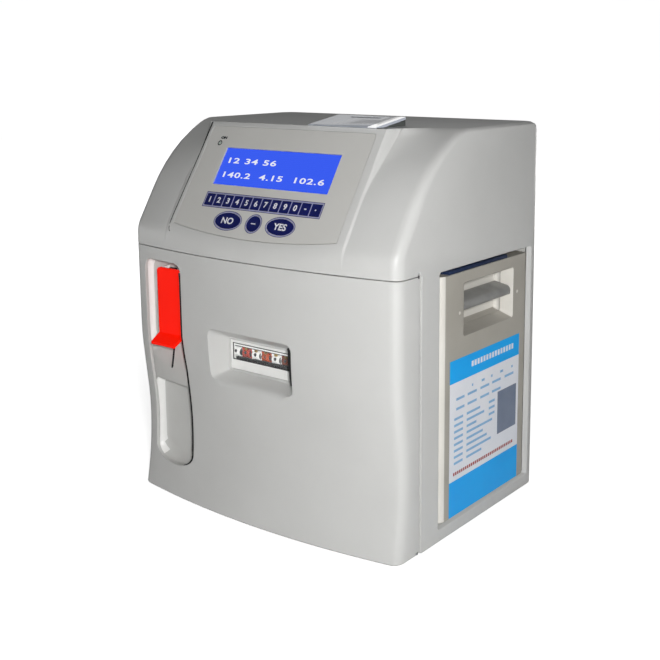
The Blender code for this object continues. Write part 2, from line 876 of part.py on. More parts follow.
rim_gap = 0.8 * mm
rim_cover = 0.9 * mm
rim_tuck = 6.0 * mm
upper_depth = 20.1 * mm
lower_depth = 26.6 * mm
well_skin = 2.5 * mm
ledge_drop = 45.5 * mm
ledge_height = 3.0 * mm
upper_slope = 35.0 * mm
upper_turn = 4.0 * mm
lower_turn = 8.0 * mm
lower_scoop = 9.0 * mm
slot_fall = 8.5 * mm
slot_drop = 16.0 * mm
slot_inset = 3.0 * mm
flap_depth = 8.6 * mm
flap_thickness = 2.4 * mm
flap_round = 3.0 * mm
lip_reach = 10.0 * mm
lip_drop = 8.0 * mm
flap_cheek = 2.0 * mm
flap_pin_back = 7.5 * mm
flap_pin_drop = 3.0 * mm
flap_pin_radius = 1.2 * mm
flap_boss = 3.2 * mm
ear_width = 2.0 * mm
arm_half = 3.0 * mm
arm_thickness = 4.2 * mm
arm_fall = 4.5 * mm
needle_side = 13.0 * mm
needle_radius = 0.8 * mm
needle_length = 28.0 * mm
needle_lean = 5.3 * mm

upper_floor = case_front + upper_depth
lower_floor = case_front + lower_depth
ledge_z = flap_bend_z - ledge_drop
slot_low_z = flap_bend_z - slot_fall
slot_high_z = flap_top - slot_drop
flap_front = case_front + flap_depth
flap_pin_y = flap_front + flap_pin_back
flap_pin_z = flap_top - flap_pin_drop
arm_bottom = flap_bend_z - arm_fall
needle_x = flap_low_x + needle_side
needle_tip_z = arm_bottom - needle_length
needle_tip_y = flap_pin_y - needle_lean


def well_plan():
    return grown((well_low_x, well_high_x + well_flare, well_low_z, well_high_z), rim_tuck)


def hollow_stations(floor, turn):
    # depth and side inset of a hollow whose walls turn softly into its floor
    yield case_front - cut_over, 0.0
    for step in range(round_steps):
        a = math.pi / 2 * step / (round_steps - 1)
        yield floor - turn * (1 - math.sin(a)), turn * (1 - math.cos(a))


def upper_pocket():
    # the foot of this hollow slopes from the bowed front back up to the floor
    middle = (well_low_x + well_high_x) / 2
    face = door_front(middle, (ledge_z + well_high_z) / 2) + door_wall + rim_gap
    stations = []
    for y, side in hollow_stations(upper_floor, upper_turn):
        low_z = ledge_z + upper_slope * (y - face) / (upper_floor - face)
        stations.append((y, rectangle(well_low_x - rim_cover + side, well_high_x - side / 4, low_z,
                                      well_high_z + rim_cover - side, well_round)))
    return drafted("Y", stations)


def lower_pocket():
    high_z = ledge_z - ledge_height
    stations = []
    for y, side in hollow_stations(lower_floor, lower_turn):
        low_x = well_low_x - rim_cover + side
        high_x = well_high_x + well_flare - side / 4
        low_z = well_low_z - rim_cover + lower_scoop * side / lower_turn
        head = head_arcs(low_x, high_x, high_z - side / 2, well_round / 2)
        stations.append((y, head + foot_arc(low_x, high_x, low_z, well_foot)))
    return drafted("Y", stations)


def sample_well():
    inset = door_wall + rim_gap
    back = bulkhead_front - seat_gap
    low_x, high_x, low_z, high_z = well_plan()
    levels = door_levels(case_bottom + inset, door_top - inset)
    well = keep("sample_well", loft([door_ring(z, inset, back) for z in levels]),
                finish("pale gray moulding", "CBCBC7", 0.45))
    limit(well, prism(rectangle(low_x, high_x, low_z, high_z, rim_tuck), "Y", case_front, back + cut_over))
    cut(well, upper_pocket())
    cut(well, lower_pocket())
    inside = (low_x + well_skin, high_x - well_skin)
    cut(well, block(inside, (upper_floor + well_skin, back + cut_over),
                    (ledge_z + ledge_height, high_z - well_skin)))
    cut(well, block(inside, (lower_floor + well_skin, back + cut_over),
                    (low_z + well_skin, ledge_z)))
    cut(well, block((flap_low_x + slot_inset, flap_high_x + slot_inset),
                    (upper_floor - cut_over, upper_floor + well_skin + cut_over), (slot_low_z, slot_high_z)))
    for x in ear_places():
        fuse(well, block(x, (flap_pin_y - flap_boss, upper_floor + seat_gap),
                         (flap_pin_z - flap_boss, flap_pin_z + flap_boss)))
    pin_bore = flap_pin_radius + seat_gap
    cut(well, rod("X", (flap_pin_y, flap_pin_z), pin_bore, flap_low_x, flap_high_x, bore_steps))
    return well


def ear_places():
    inner = flap_cheek + seat_gap
    return ((flap_low_x + inner, flap_low_x + inner + ear_width),
            (flap_high_x - inner - ear_width, flap_high_x - inner))


def sample_flap():
    back = flap_front + flap_thickness
    outline = [(flap_front, flap_top), (flap_front, flap_bend_z),
               (flap_front - lip_reach, flap_bend_z - lip_drop + flap_thickness / 2),
               (flap_front - lip_reach, flap_bend_z - lip_drop - flap_thickness / 2),
               (back, flap_bend_z - flap_thickness), (back, flap_top)]
    flap = keep("sample_flap", prism(outline, "X", flap_low_x, flap_high_x),
                finish("red gloss moulding", "FA1A00", 0.35))
    for low in (flap_low_x, flap_high_x - flap_cheek):
        high = low + flap_cheek
        fuse(flap, block((low, high), (back - seat_gap, flap_pin_y), (flap_pin_z - flap_boss, flap_top)))
        fuse(flap, rod("X", (flap_pin_y, flap_pin_z), flap_boss, low, high, bore_steps))
    cut(flap, rod("X", (flap_pin_y, flap_pin_z), flap_pin_radius + seat_gap,
                  flap_low_x - cut_over, flap_high_x + cut_over, bore_steps))
    limit(flap, prism(rectangle(flap_low_x, flap_high_x, flap_bend_z - 2 * lip_drop, flap_top, flap_round),
                      "Y", flap_front - 2 * lip_reach, upper_floor))
    pivot(flap, (0, flap_pin_y, flap_pin_z))
    return flap


def probe_arm():
    side = (needle_x - arm_half, needle_x + arm_half)
    radius = arm_thickness / 2
    arm = keep("probe_arm", block(side, (flap_pin_y - radius, flap_pin_y + radius), (arm_bottom, flap_pin_z)),
               finish("black acetal", "19191B", 0.4))
    fuse(arm, rod("X", (flap_pin_y, flap_pin_z), flap_boss - seat_gap, *side, bore_steps))
    cut(arm, rod("X", (flap_pin_y, flap_pin_z), flap_pin_radius + seat_gap, side[0] - cut_over,
                 side[1] + cut_over, bore_steps))
    pivot(arm, (needle_x, flap_pin_y, flap_pin_z))
    return arm


def sample_probe():
    top = Vector((needle_x, flap_pin_y, arm_bottom - seat_gap))
    tip = Vector((needle_x, needle_tip_y, needle_tip_z))
    rings = []
    for point, radius in ((top, needle_radius), (tip, needle_radius)):
        outline = ellipse(point.x, point.y, radius, radius, pin_steps)
        rings.append([Vector((u, v, point.z)) for u, v in outline])
    needle = keep("sample_probe", loft(rings), finish("dark steel", "2A2A2C", 0.3, 0.8))
    pivot(needle, (needle_x, flap_pin_y, flap_pin_z))
    return needle


# Electrodes behind the window

electrode_count = 5
electrode_width = 11.2 * mm
electrode_pitch = 11.6 * mm
electrode_set_back = 4.5 * mm
electrode_row_shift = 1.75 * mm
electrode_rise = 13.2 * mm
electrode_height = 18.6 * mm
electrode_round = 3.0 * mm
eye_radius = 4.0 * mm
eye_proud = 0.8 * mm
holder_wall = 3.0 * mm
holder_shelf = 8.0 * mm
holder_end = 12.0 * mm
holder_reach = 47.0 * mm
clamp_radius = 8.4 * mm
clamp_arm = 22.0 * mm
clamp_arm_width = 6.0 * mm
clamp_shaft = 3.0 * mm
electrode_colors = ("D8462E", "E9E7E2", "E0602C", "E9E7E2", "9A3A22")

electrode_front = window_floor + electrode_set_back
electrode_low_z = window_low_z + electrode_rise
electrode_high_z = electrode_low_z + electrode_height
row_middle = (window_low_x + window_high_x) / 2 - electrode_row_shift
electrode_back = bulkhead_front - seat_gap - holder_wall - seat_gap
row_half = electrode_count * electrode_pitch / 2
clamp_x = row_middle + row_half + seat_gap + clamp_radius
clamp_z = (electrode_low_z + electrode_high_z) / 2


def electrode_holder():
    low_x = row_middle - row_half - holder_end
    high_x = row_middle + holder_reach
    back = bulkhead_front - seat_gap
    floor = electrode_low_z - seat_gap
    holder = keep("electrode_holder", block((low_x, high_x), (back - holder_wall, back),
                                            (floor - holder_shelf, electrode_high_z + holder_wall)),
                  finish("white acetal", "E6E6E3", 0.35))
    front = electrode_front + seam_gap
    fuse(holder, block((low_x, high_x), (front, back - seat_gap), (floor - holder_shelf, floor)))
    fuse(holder, block((low_x, row_middle - row_half - seat_gap), (front, back - seat_gap),
                       (floor - seat_gap, electrode_high_z)))
    cut(holder, rod("Y", (clamp_x, clamp_z), clamp_shaft + seat_gap, back - holder_wall - cut_over,
                    back + cut_over, bore_steps))
    return holder


def electrodes():
    for i in range(electrode_count):
        x = row_middle + electrode_pitch * (i - (electrode_count - 1) / 2)
        side = (x - electrode_width / 2, x + electrode_width / 2)
        profile = rectangle(electrode_front, electrode_back, electrode_low_z, electrode_high_z,
                            electrode_round)
        name = "electrode_" + str(i + 1)
        body = keep(name, prism(profile, "X", *side), finish(name, electrode_colors[i], 0.3))
        fuse(body, rod("Y", (x, clamp_z), eye_radius, electrode_front - eye_proud,
                       electrode_front + electrode_round, bore_steps))


def clamp_lever():
    back = bulkhead_front - seat_gap - holder_wall - seat_gap
    hub = rod("Y", (clamp_x, clamp_z), clamp_radius, electrode_front + seam_gap, back)
    lever = keep("clamp_lever", hub, finish("black acetal", "222224", 0.45))
    fuse(lever, block((clamp_x - clamp_arm_width / 2, clamp_x + clamp_arm_width / 2),
                      (electrode_front + seam_gap, (electrode_front + back) / 2),
                      (clamp_z, clamp_z + clamp_arm)))
    fuse(lever, rod("Y", (clamp_x, clamp_z), clamp_shaft, (electrode_front + back) / 2,
                    bulkhead_front - 2 * seat_gap, bore_steps))
    pivot(lever, (clamp_x, electrode_front, clamp_z))
    return lever


# Peristaltic pump below the electrodes' shelf, with the pinch valve beside it

pump_side = 52.0 * mm
motor_radius = 16.0 * mm
motor_length = 18.0 * mm
pump_plate = 4.0 * mm
pump_plate_half = 33.0 * mm
track_wall = 5.0 * mm
track_reach = 20.0 * mm
tube_radius = 2.0 * mm
tube_tail = 22.0 * mm
roller_count = 4
roller_radius = 4.5 * mm
roller_orbit = 16.0 * mm
disc_radius = 18.0 * mm
disc_thickness = 2.5 * mm
hub_radius = 9.0 * mm
shaft_radius = 3.0 * mm
valve_radius = 11.0 * mm
valve_nose = 6.0 * mm
valve_length = 20.0 * mm
valve_nose_length = 8.0 * mm

pump_x = half_width - pump_side
pump_z = electrode_low_z - holder_shelf - seam_gap - pump_plate_half
valve_x = pump_x - pump_plate_half - seam_gap - valve_radius
pump_face = bulkhead_front - seat_gap - pump_plate
track_front = pump_face - track_reach
tube_orbit = roller_orbit + roller_radius + seat_gap + tube_radius
track_inside = tube_orbit + tube_radius + seat_gap


def half_track():
    # half ring on the left of the rotor
    outer = track_inside + track_wall
    angles = [math.pi / 2 + math.pi * i / track_steps for i in range(track_steps + 1)]
    outside = [(pump_x + outer * math.cos(a), pump_z + outer * math.sin(a)) for a in angles]
    inside = [(pump_x + track_inside * math.cos(a), pump_z + track_inside * math.sin(a)) for a in angles]
    return outside + inside[::-1]


def pump_housing():
    plan = (pump_x - pump_plate_half, pump_x + pump_plate_half,
            pump_z - pump_plate_half, pump_z + pump_plate_half)
    back = bulkhead_front - seat_gap
    housing = keep("pump_housing", prism(rectangle(*plan, track_wall), "Y", pump_face, back),
                   finish("dark gray moulding", "4A4C50", 0.5))
    fuse(housing, prism(half_track(), "Y", track_front, pump_face + pump_plate / 2))
    fuse(housing, rod("Y", (pump_x, pump_z), motor_radius, back - seat_gap, back + motor_length))
    cut(housing, rod("Y", (pump_x, pump_z), shaft_radius + seat_gap, pump_face - cut_over,
                     pump_face + motor_length / 2, bore_steps))
    return housing


def pump_rotor():
    back = pump_face - seam_gap
    front = track_front + seam_gap
    profile = [(pump_face + pump_plate, shaft_radius), (back, shaft_radius), (back, disc_radius),
               (back - disc_thickness, disc_radius), (back - disc_thickness, hub_radius),
               (front + disc_thickness, hub_radius), (front + disc_thickness, disc_radius),
               (front, disc_radius)]
    acetal = finish("white acetal", "DDDDD8", 0.35)
    rotor = keep("pump_rotor", turned("Y", (pump_x, pump_z), profile), acetal)
    for i in range(roller_count):
        a = math.pi / 4 + 2 * math.pi * i / roller_count
        place = (pump_x + roller_orbit * math.cos(a), pump_z + roller_orbit * math.sin(a))
        fuse(rotor, rod("Y", place, roller_radius, front + disc_thickness / 2, back - disc_thickness / 2,
                        pin_steps))
    pivot(rotor, (pump_x, front, pump_z))
    return rotor


def pump_tube():
    y = (pump_face + track_front) / 2
    path = [Vector((pump_x + tube_tail, y, pump_z + tube_orbit))]
    for i in range(track_steps + 1):
        a = math.pi / 2 + math.pi * i / track_steps
        path.append(Vector((pump_x + tube_orbit * math.cos(a), y, pump_z + tube_orbit * math.sin(a))))
    path.append(Vector((pump_x + tube_tail, y, pump_z - tube_orbit)))
    return keep("pump_tube", tube(path, tube_radius), finish("silicone tube", "E4DFD2", 0.4, 0.0, 0.8))


def pinch_valve():
    back = bulkhead_front - seat_gap
    profile = [(back, valve_radius), (back - valve_length, valve_radius), (back - valve_length, valve_nose),
               (back - valve_length - valve_nose_length, valve_nose)]
    valve = turned("Y", (valve_x, pump_z), profile)
    return keep("pinch_valve", valve, finish("blued steel", "3C4148", 0.4, 0.6))


# Electronics inside the cabinet

board_side = 25.0 * mm
board_bay_gap = 12.0 * mm
board_low_z = 30.0 * mm
board_drop = 15.0 * mm
board_thickness = 1.6 * mm
board_standoff = 8.0 * mm
standoff_radius = 3.0 * mm
standoff_inset = 6.0 * mm
chip_half = 14.0 * mm
chip_height = 3.0 * mm
supply_side = 16.0 * mm
supply_width = 84.0 * mm
supply_depth = 72.0 * mm
supply_height = 38.0 * mm
supply_slot = 3.0 * mm
supply_slot_count = 6

board_low_x = board_side - half_width
board_high_x = bay_back_x - board_bay_gap
board_high_z = seam_z - board_drop
supply_low_x = supply_side - half_width
supply_high_x = supply_low_x + supply_width
supply_back = inner_back - inlet_depth - 2 * seam_gap
supply_front = supply_back - supply_depth


def main_board():
    front = bulkhead_back + seat_gap
    plate = front + board_standoff
    board = keep("main_board", block((board_low_x, board_high_x), (plate, plate + board_thickness),
                                     (board_low_z, board_high_z)),
                 finish("green circuit board", "1F5B3A", 0.5))
    for x in (board_low_x + standoff_inset, board_high_x - standoff_inset):
        for z in (board_low_z + standoff_inset, board_high_z - standoff_inset):
            fuse(board, rod("Y", (x, z), standoff_radius, front, plate + seat_gap, pin_steps))
    middle = (board_low_x + board_high_x) / 2
    for z in (board_low_z + 3 * chip_half, board_high_z - 3 * chip_half):
        fuse(board, block((middle - chip_half, middle + chip_half),
                          (plate + seat_gap, plate + board_thickness + chip_height),
                          (z - chip_half, z + chip_half)))
    return board


def power_supply():
    low = base_top + seat_gap
    box = keep("power_supply", block((supply_low_x, supply_high_x), (supply_front, supply_back),
                                     (low, low + supply_height)),
               finish("zinc plated steel", "B2B5B6", 0.4, 0.9))
    pitch = supply_depth / (supply_slot_count + 1)
    inset = supply_slot * 4
    for i in range(supply_slot_count):
        y = supply_front + pitch * (i + 1)
        cut(box, block((supply_low_x + inset, supply_high_x - inset), (y, y + supply_slot),
                       (low + supply_height - supply_slot, low + supply_height + cut_over)))
    return box


# Display and keypad, laid out in the pod's plane

module_border = 5.5 * mm
module_frame = 1.7 * mm
module_board = 3.0 * mm
module_reach = 10.0 * mm
glass_recess = 0.4 * mm
key_count = 12
key_row_over = 1.3 * mm
key_frame = 1.3 * mm
key_web = 0.8 * mm
key_proud = 0.35 * mm
key_depth = 0.55 * mm
pad_rise = 15.2 * mm
pad_offset = 29.8 * mm
pad_half_width = 14.4 * mm
pad_half_height = 7.4 * mm
dash_half = 7.2 * mm
pad_steps = 20

key_row_half = display_half + key_row_over
key_names = ("key_1", "key_2", "key_3", "key_4", "key_5", "key_6", "key_7", "key_8", "key_9", "key_0",
             "key_minus", "key_point")

def key_outlines(by):
    pitch = 2 * (key_row_half - key_frame) / key_count
    places = {}
    for i, name in enumerate(key_names):
        low = -key_row_half + key_frame + i * pitch + key_web / 2
        high = low + pitch - key_web
        box = grown((low, high, key_row_low_v + key_frame, key_row_high_v - key_frame), by)
        places[name] = rectangle(*box)
    for name, u, half in (("key_no", -pad_offset, pad_half_width), ("key_dash", 0.0, dash_half),
                          ("key_yes", pad_offset, pad_half_width)):
        high = dash_half if name == "key_dash" else pad_half_height
        places[name] = ellipse(u, overlay_low_v + pad_rise, half + by, high + by, pad_steps)
    return places


def keypad_overlay():
    overlay = keep("keypad_overlay", on_panel(prism(overlay_outline(), "Z", -overlay_thickness, 0.0)),
                   finish("printed polyester", "CFCEC8", 0.35))
    through = (-overlay_thickness - cut_over, cut_over)
    cut(overlay, on_panel(prism(rectangle(-display_half, display_half, display_low_v, display_high_v), "Z",
                                *through)))
    cut(overlay, on_panel(rod("Z", (led_u, led_v), led_radius + seat_gap, *through)))
    for outline in key_outlines(seat_gap).values():
        cut(overlay, on_panel(prism(outline, "Z", *through)))
    return overlay


def keys():
    navy = finish("navy printed key", "141B5E", 0.35)
    for name, outline in key_outlines(0.0).items():
        key = keep(name, on_panel(prism(outline, "Z", -key_depth, key_proud)), navy)
        pivot(key, panel_place @ Vector((*middle_of(outline), 0.0)))


def middle_of(outline):
    return [sum(point[i] for point in outline) / len(outline) for i in (0, 1)]


def lcd_module():
    wall = case_wall + seat_gap
    place = (-display_half, display_half, display_low_v, display_high_v)
    module = keep("lcd_module", on_panel(prism(rectangle(*place), "Z", -wall - seat_gap,
                                               -overlay_thickness - glass_recess)),
                  finish("blue display", "3A5FF8", 0.2))
    frame = grown(place, module_border)
    fuse(module, on_panel(prism(rectangle(*frame), "Z", -wall - module_frame, -wall)))
    low_u, high_u, low_v, high_v = grown(frame, module_border)
    fuse(module, on_panel(prism(rectangle(low_u - module_reach, high_u, low_v, high_v), "Z",
                                -wall - module_frame - module_board, -wall - module_frame + seat_gap)))
    return module


def power_led():
    foot = -case_wall - seat_gap - module_frame + 2 * seat_gap
    profile = [(foot, led_radius), (0.0, led_radius), (key_proud, led_radius * 0.6)]
    return keep("power_led", on_panel(turned("Z", (led_u, led_v), profile, pin_steps)),
                finish("green lens", "3E8E52", 0.2))


# Printer in the top: body with its paper box, tilted lid, platen and paper roll

lid_front_rise = 1.5 * mm
lid_back_rise = 7.7 * mm
lid_thickness = 2.4 * mm
lid_front_gap = 0.4 * mm
lid_nose = 0.9 * mm
barrel_radius = 1.6 * mm
barrel_drop = 1.9 * mm
barrel_back = 1.1 * mm
barrel_end = 11.0 * mm
barrel_gap = 0.3 * mm
cradle_drop = 1.0 * mm
body_end_rise = 3.7 * mm
printer_depth = 50.0 * mm
printer_wall = 2.2 * mm
ear_gap = 0.5 * mm
slot_back = 32.6 * mm
slot_width = 2.2 * mm
slot_half = 16.0 * mm
platen_radius = 4.0 * mm
platen_back = 28.0 * mm
platen_shaft = 1.2 * mm
platen_ear = 2.0 * mm
roll_clearance = 1.6 * mm
roll_core = 3.0 * mm
roll_drop = 27.0 * mm
roll_gap = 3.0 * mm

lid_back_y = console_edge() + printer_length
barrel_y = lid_back_y + barrel_back
barrel_z = case_top + lid_back_rise - barrel_drop
platen_y = console_edge() + platen_back


def lid_top(y):
    # the lid's upper face rises in one slope from the console's edge
    share = (y - console_edge()) / printer_length
    return case_top + lid_front_rise + (lid_back_rise - lid_front_rise) * share


def lid_room():
    (low_x, high_x), (low_y, high_y) = printer_box()
    return (low_x + printer_wall, high_x - printer_wall), (low_y + printer_wall, high_y - printer_wall)


def printer_body():
    (low_x, high_x), (low_y, high_y) = printer_seat(0.0)
    foot = case_top - rebate_depth + seat_gap
    rim = case_top + seat_gap / 3
    crest = rim + body_end_rise
    wall_front = barrel_y - barrel_radius - barrel_gap
    cradle = barrel_z - cradle_drop
    wedge = [(low_y, foot), (high_y, foot), (high_y, cradle), (wall_front, cradle), (wall_front, crest),
             (low_y + printer_box_front + printer_wall, rim), (low_y, rim)]
    moulding = finish("dark gray moulding", "5C605E", 0.5)
    body = keep("printer_body", prism(wedge, "X", low_x, high_x), moulding)
    (low_x, high_x), (low_y, high_y) = printer_box()
    floor = case_top - printer_depth
    fuse(body, block((low_x, high_x), (low_y, high_y), (floor, foot + seat_gap)))
    room_x, room_y = lid_room()
    cut(body, block(room_x, room_y, (floor + printer_wall, case_top + 2 * lid_back_rise)))
    cut(body, rod("X", (barrel_y, barrel_z), barrel_radius + barrel_gap, low_x - 2 * printer_box_side,
                  high_x + 2 * printer_box_side, bore_steps))
    cut(body, rod("X", (roll_y(), case_top - roll_drop), roll_core + seat_gap, low_x - cut_over,
                  high_x + cut_over, bore_steps))
    return body


def roll_y():
    _, (low_y, high_y) = lid_room()
    return (low_y + high_y) / 2


def roll_radius():
    _, (low_y, high_y) = lid_room()
    return (high_y - low_y) / 2 - roll_clearance


def printer_lid():
    half = printer_width / 2
    front = console_edge() - printer_lip
    under = case_top + seat_gap / 3 + lid_front_gap
    flat_end = console_edge() + printer_length * (lid_thickness + under - case_top - lid_front_rise) / (
        lid_back_rise - lid_front_rise)
    outline = [(front, under), (flat_end, under), (lid_back_y, lid_top(lid_back_y) - lid_thickness),
               (lid_back_y, lid_top(lid_back_y)), (front + lid_nose, lid_top(front + lid_nose)),
               (front, lid_top(front) - lid_nose / 2)]
    lid = keep("printer_lid", prism(outline, "X", printer_x - half, printer_x + half),
               finish("white gray moulding", "D3D6DB", 0.3))
    fuse(lid, rod("X", (barrel_y, barrel_z), barrel_radius, printer_x - half + barrel_end,
                  printer_x + half - barrel_end, bore_steps))
    slot_y = console_edge() + slot_back
    cut(lid, block((printer_x - slot_half, printer_x + slot_half),
                   (slot_y - slot_width / 2, slot_y + slot_width / 2),
                   (case_top - lid_thickness, case_top + 2 * lid_back_rise)))
    (low_x, high_x), _ = lid_room()
    ear_root = lid_top(platen_y - platen_radius) - lid_thickness / 2
    for low in (low_x + ear_gap, high_x - ear_gap - platen_ear):
        fuse(lid, block((low, low + platen_ear), (platen_y - platen_radius, platen_y + platen_radius),
                        (platen_z() - 2 * platen_shaft, ear_root)))
    cut(lid, rod("X", (platen_y, platen_z()), platen_shaft + seat_gap, low_x, high_x, pin_steps))
    pivot(lid, (printer_x, barrel_y, barrel_z))
    return lid


def platen_z():
    return lid_top(platen_y - platen_radius) - lid_thickness - seat_gap - platen_radius


def platen_roller():
    (low_x, high_x), _ = lid_room()
    low = low_x + ear_gap
    high = high_x - ear_gap
    neck = platen_ear + seat_gap
    profile = [(low, platen_shaft), (low + neck, platen_shaft), (low + neck, platen_radius),
               (high - neck, platen_radius), (high - neck, platen_shaft), (high, platen_shaft)]
    roller = keep("platen_roller", turned("X", (platen_y, platen_z()), profile, bore_steps),
                  finish("black rubber", "202022", 0.7))
    pivot(roller, (printer_x, platen_y, platen_z()))
    return roller


def paper_roll():
    (low_x, high_x), _ = lid_room()
    low = low_x - printer_wall / 2
    high = high_x + printer_wall / 2
    profile = [(low, roll_core), (low_x + roll_gap, roll_core), (low_x + roll_gap, roll_radius()),
               (high_x - roll_gap, roll_radius()), (high_x - roll_gap, roll_core), (high, roll_core)]
    z = case_top - roll_drop
    roll = keep("paper_roll", turned("X", (roll_y(), z), profile, roll_steps),
                finish("white paper", "F2F1EC", 0.9))
    pivot(roll, (printer_x, roll_y(), z))
    return roll


# Reagent pack in its bay: liner, ports, case, cover and handle

liner_wall = 2.0 * mm
pack_side_gap = 1.4 * mm
pack_top_gap = 4.8 * mm
pack_proud = 0.4 * mm
pack_cover_depth = 12.5 * mm
pack_front_round = 9.0 * mm
pack_back_gap = 3.0 * mm
pack_case_inset = 1.5 * mm
grip_front_border = 36.5 * mm
grip_back_border = 26.0 * mm
grip_top_border = 10.0 * mm
grip_height = 46.0 * mm
grip_depth = 19.0 * mm
grip_slope = 7.5 * mm
grip_round = 2.5 * mm
handle_pin_back = 4.9 * mm
handle_pin_drop = 23.5 * mm
handle_nose = 4.7 * mm
handle_nose_back = 5.6 * mm
handle_nose_rise = 2.9 * mm
handle_reach = 17.2 * mm
handle_rise = 6.9 * mm
handle_tail = 3.2 * mm
handle_end_gap = 1.0 * mm
handle_pin_radius = 1.8 * mm
handle_pin_reach = 6.0 * mm
port_count = 4
port_pitch = 24.0 * mm
port_z = 46.0 * mm
port_radius = 2.6 * mm
port_collar = 5.0 * mm
port_collar_length = 1.8 * mm
port_length = 8.0 * mm

pack_top_z = bay_high_z - pack_top_gap
pack_face_x = half_width + pack_proud
pack_back_x = bay_back_x + pack_back_gap
grip_low_y = bay_low_y + grip_front_border
grip_high_y = bay_high_y - grip_back_border
grip_high_z = pack_top_z - grip_top_border
grip_low_z = grip_high_z - grip_height
handle_pin_x = pack_face_x - handle_pin_back
handle_pin_z = grip_high_z - handle_pin_drop


def bay_liner():
    plan = (bay_low_y, bay_high_y, bay_low_z, bay_high_z - seat_gap)
    outer = grown(plan, liner_wall)
    mouth = half_width - case_wall - seat_gap
    liner = keep("bay_liner", prism(rectangle(*outer), "X", bay_back_x - liner_wall, mouth),
                 finish("dark gray moulding", "6E6E6A", 0.5))
    cut(liner, prism(rectangle(*plan), "X", bay_back_x, mouth + cut_over))
    profile = [(bay_back_x - liner_wall / 2, port_collar), (bay_back_x + port_collar_length, port_collar),
               (bay_back_x + port_collar_length, port_radius), (bay_back_x + port_length, port_radius)]
    for place in port_places():
        fuse(liner, turned("X", place, profile, pin_steps))
    return liner


def port_places():
    middle = (bay_low_y + bay_high_y) / 2
    for i in range(port_count):
        yield middle + port_pitch * (i - (port_count - 1) / 2), port_z


def pack_plan(by):
    return (bay_low_y + pack_side_gap + by, bay_high_y - pack_side_gap - by,
            bay_low_z + pack_side_gap + by, pack_top_z - by)


def grip_pocket():
    mouth = rectangle(grip_low_y, grip_high_y, grip_low_z, grip_high_z, grip_round)
    inside = rectangle(grip_low_y + grip_round, grip_high_y - grip_round, grip_low_z + grip_slope,
                       grip_high_z - grip_round, grip_round)
    return drafted("X", [(pack_face_x - grip_depth, inside), (pack_face_x, mouth),
                         (pack_face_x + cut_over, mouth)])


def pack_case():
    front = pack_face_x - pack_cover_depth - seat_gap
    outline = rectangle(*pack_plan(pack_case_inset), grip_round)
    moulding = finish("gray beige moulding", "9A968D", 0.5)
    case = keep("pack_case", prism(outline, "X", pack_back_x, front), moulding)
    cut(case, grip_pocket())
    socket = port_collar + seam_gap
    for place in port_places():
        cut(case, turned("X", place, [(pack_back_x - cut_over, socket),
                                      (bay_back_x + port_length + seam_gap, socket)], bore_steps))
    return case


def pack_cover():
    low_y, high_y, low_z, high_z = pack_plan(0.0)
    back = pack_face_x - pack_cover_depth
    radius = pack_front_round
    plan = [(back, low_y)]
    for step in range(2 * round_steps - 1):
        a = -math.pi / 2 + math.pi / 2 * step / (2 * round_steps - 2)
        plan.append((pack_face_x - radius + radius * math.cos(a), low_y + radius + radius * math.sin(a)))
    plan += [(pack_face_x, high_y - grip_round), (pack_face_x - grip_round, high_y), (back, high_y)]
    cover = keep("pack_cover", prism(plan, "Z", low_z, high_z), finish("gray beige moulding", "A9A59C", 0.5))
    cut(cover, grip_pocket())
    cut(cover, rod("Y", (handle_pin_x, handle_pin_z), handle_pin_radius + seat_gap,
                   grip_low_y - handle_pin_reach, grip_high_y + handle_pin_reach, bore_steps))
    return cover


def pack_handle():
    # a thick nose at the front that thins to a tail in the grip, on two stub pivots
    nose_x = pack_face_x - handle_nose_back
    nose_z = handle_pin_z + handle_nose_rise
    tail_x = pack_face_x - handle_reach
    tail_z = nose_z + handle_rise
    outline = []
    for step in range(2 * round_steps - 1):
        a = math.pi * (step / (2 * round_steps - 2) - start_share)
        outline.append((nose_x + handle_nose * math.cos(a), nose_z + handle_nose * math.sin(a)))
    outline += [(tail_x, tail_z), (tail_x - handle_tail / 2, tail_z - handle_tail / 2),
                (tail_x, tail_z - handle_tail)]
    low = grip_low_y + handle_end_gap + grip_round
    high = grip_high_y - handle_end_gap - grip_round
    handle = keep("pack_handle", prism(outline, "Y", low, high), finish("dark gray moulding", "7C7C7A", 0.45))
    reach = handle_pin_reach - seat_gap
    fuse(handle, rod("Y", (handle_pin_x, handle_pin_z), handle_pin_radius,
                     grip_low_y - reach, grip_high_y + reach, pin_steps))
    pivot(handle, (handle_pin_x, (low + high) / 2, handle_pin_z))
    return handle


def build():
    for item in list(bpy.data.objects):
        bpy.data.objects.remove(item)
    main_casing()
    base_plate()
    rubber_feet()
    bulkhead()
    rear_panel()
    power_inlet()
    power_switch()
    front_door()
    hinge_bracket()
    hinge_pin()
    window_frame()
    window_lens()
    door_magnet()
    sample_well()
    sample_flap()
    flap_pin()
    probe_arm()
    sample_probe()
    electrode_holder()
    electrodes()
    clamp_lever()
    pump_housing()
    pump_rotor()
    pump_tube()
    pinch_valve()
    main_board()
    power_supply()
    lcd_module()
    keypad_overlay()
    power_led()
    keys()
    printer_body()
    printer_lid()
    platen_roller()
    paper_roll()
    bay_liner()
    pack_case()
    pack_cover()
    pack_handle()
    for made in bpy.data.objects:
        made.data.shade_smooth()
        made.data.set_sharp_from_angle(angle=smooth_turn)


build()
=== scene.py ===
import json
import math

import bmesh
import bpy
from mathutils import Matrix, Vector
from mathutils.kdtree import KDTree

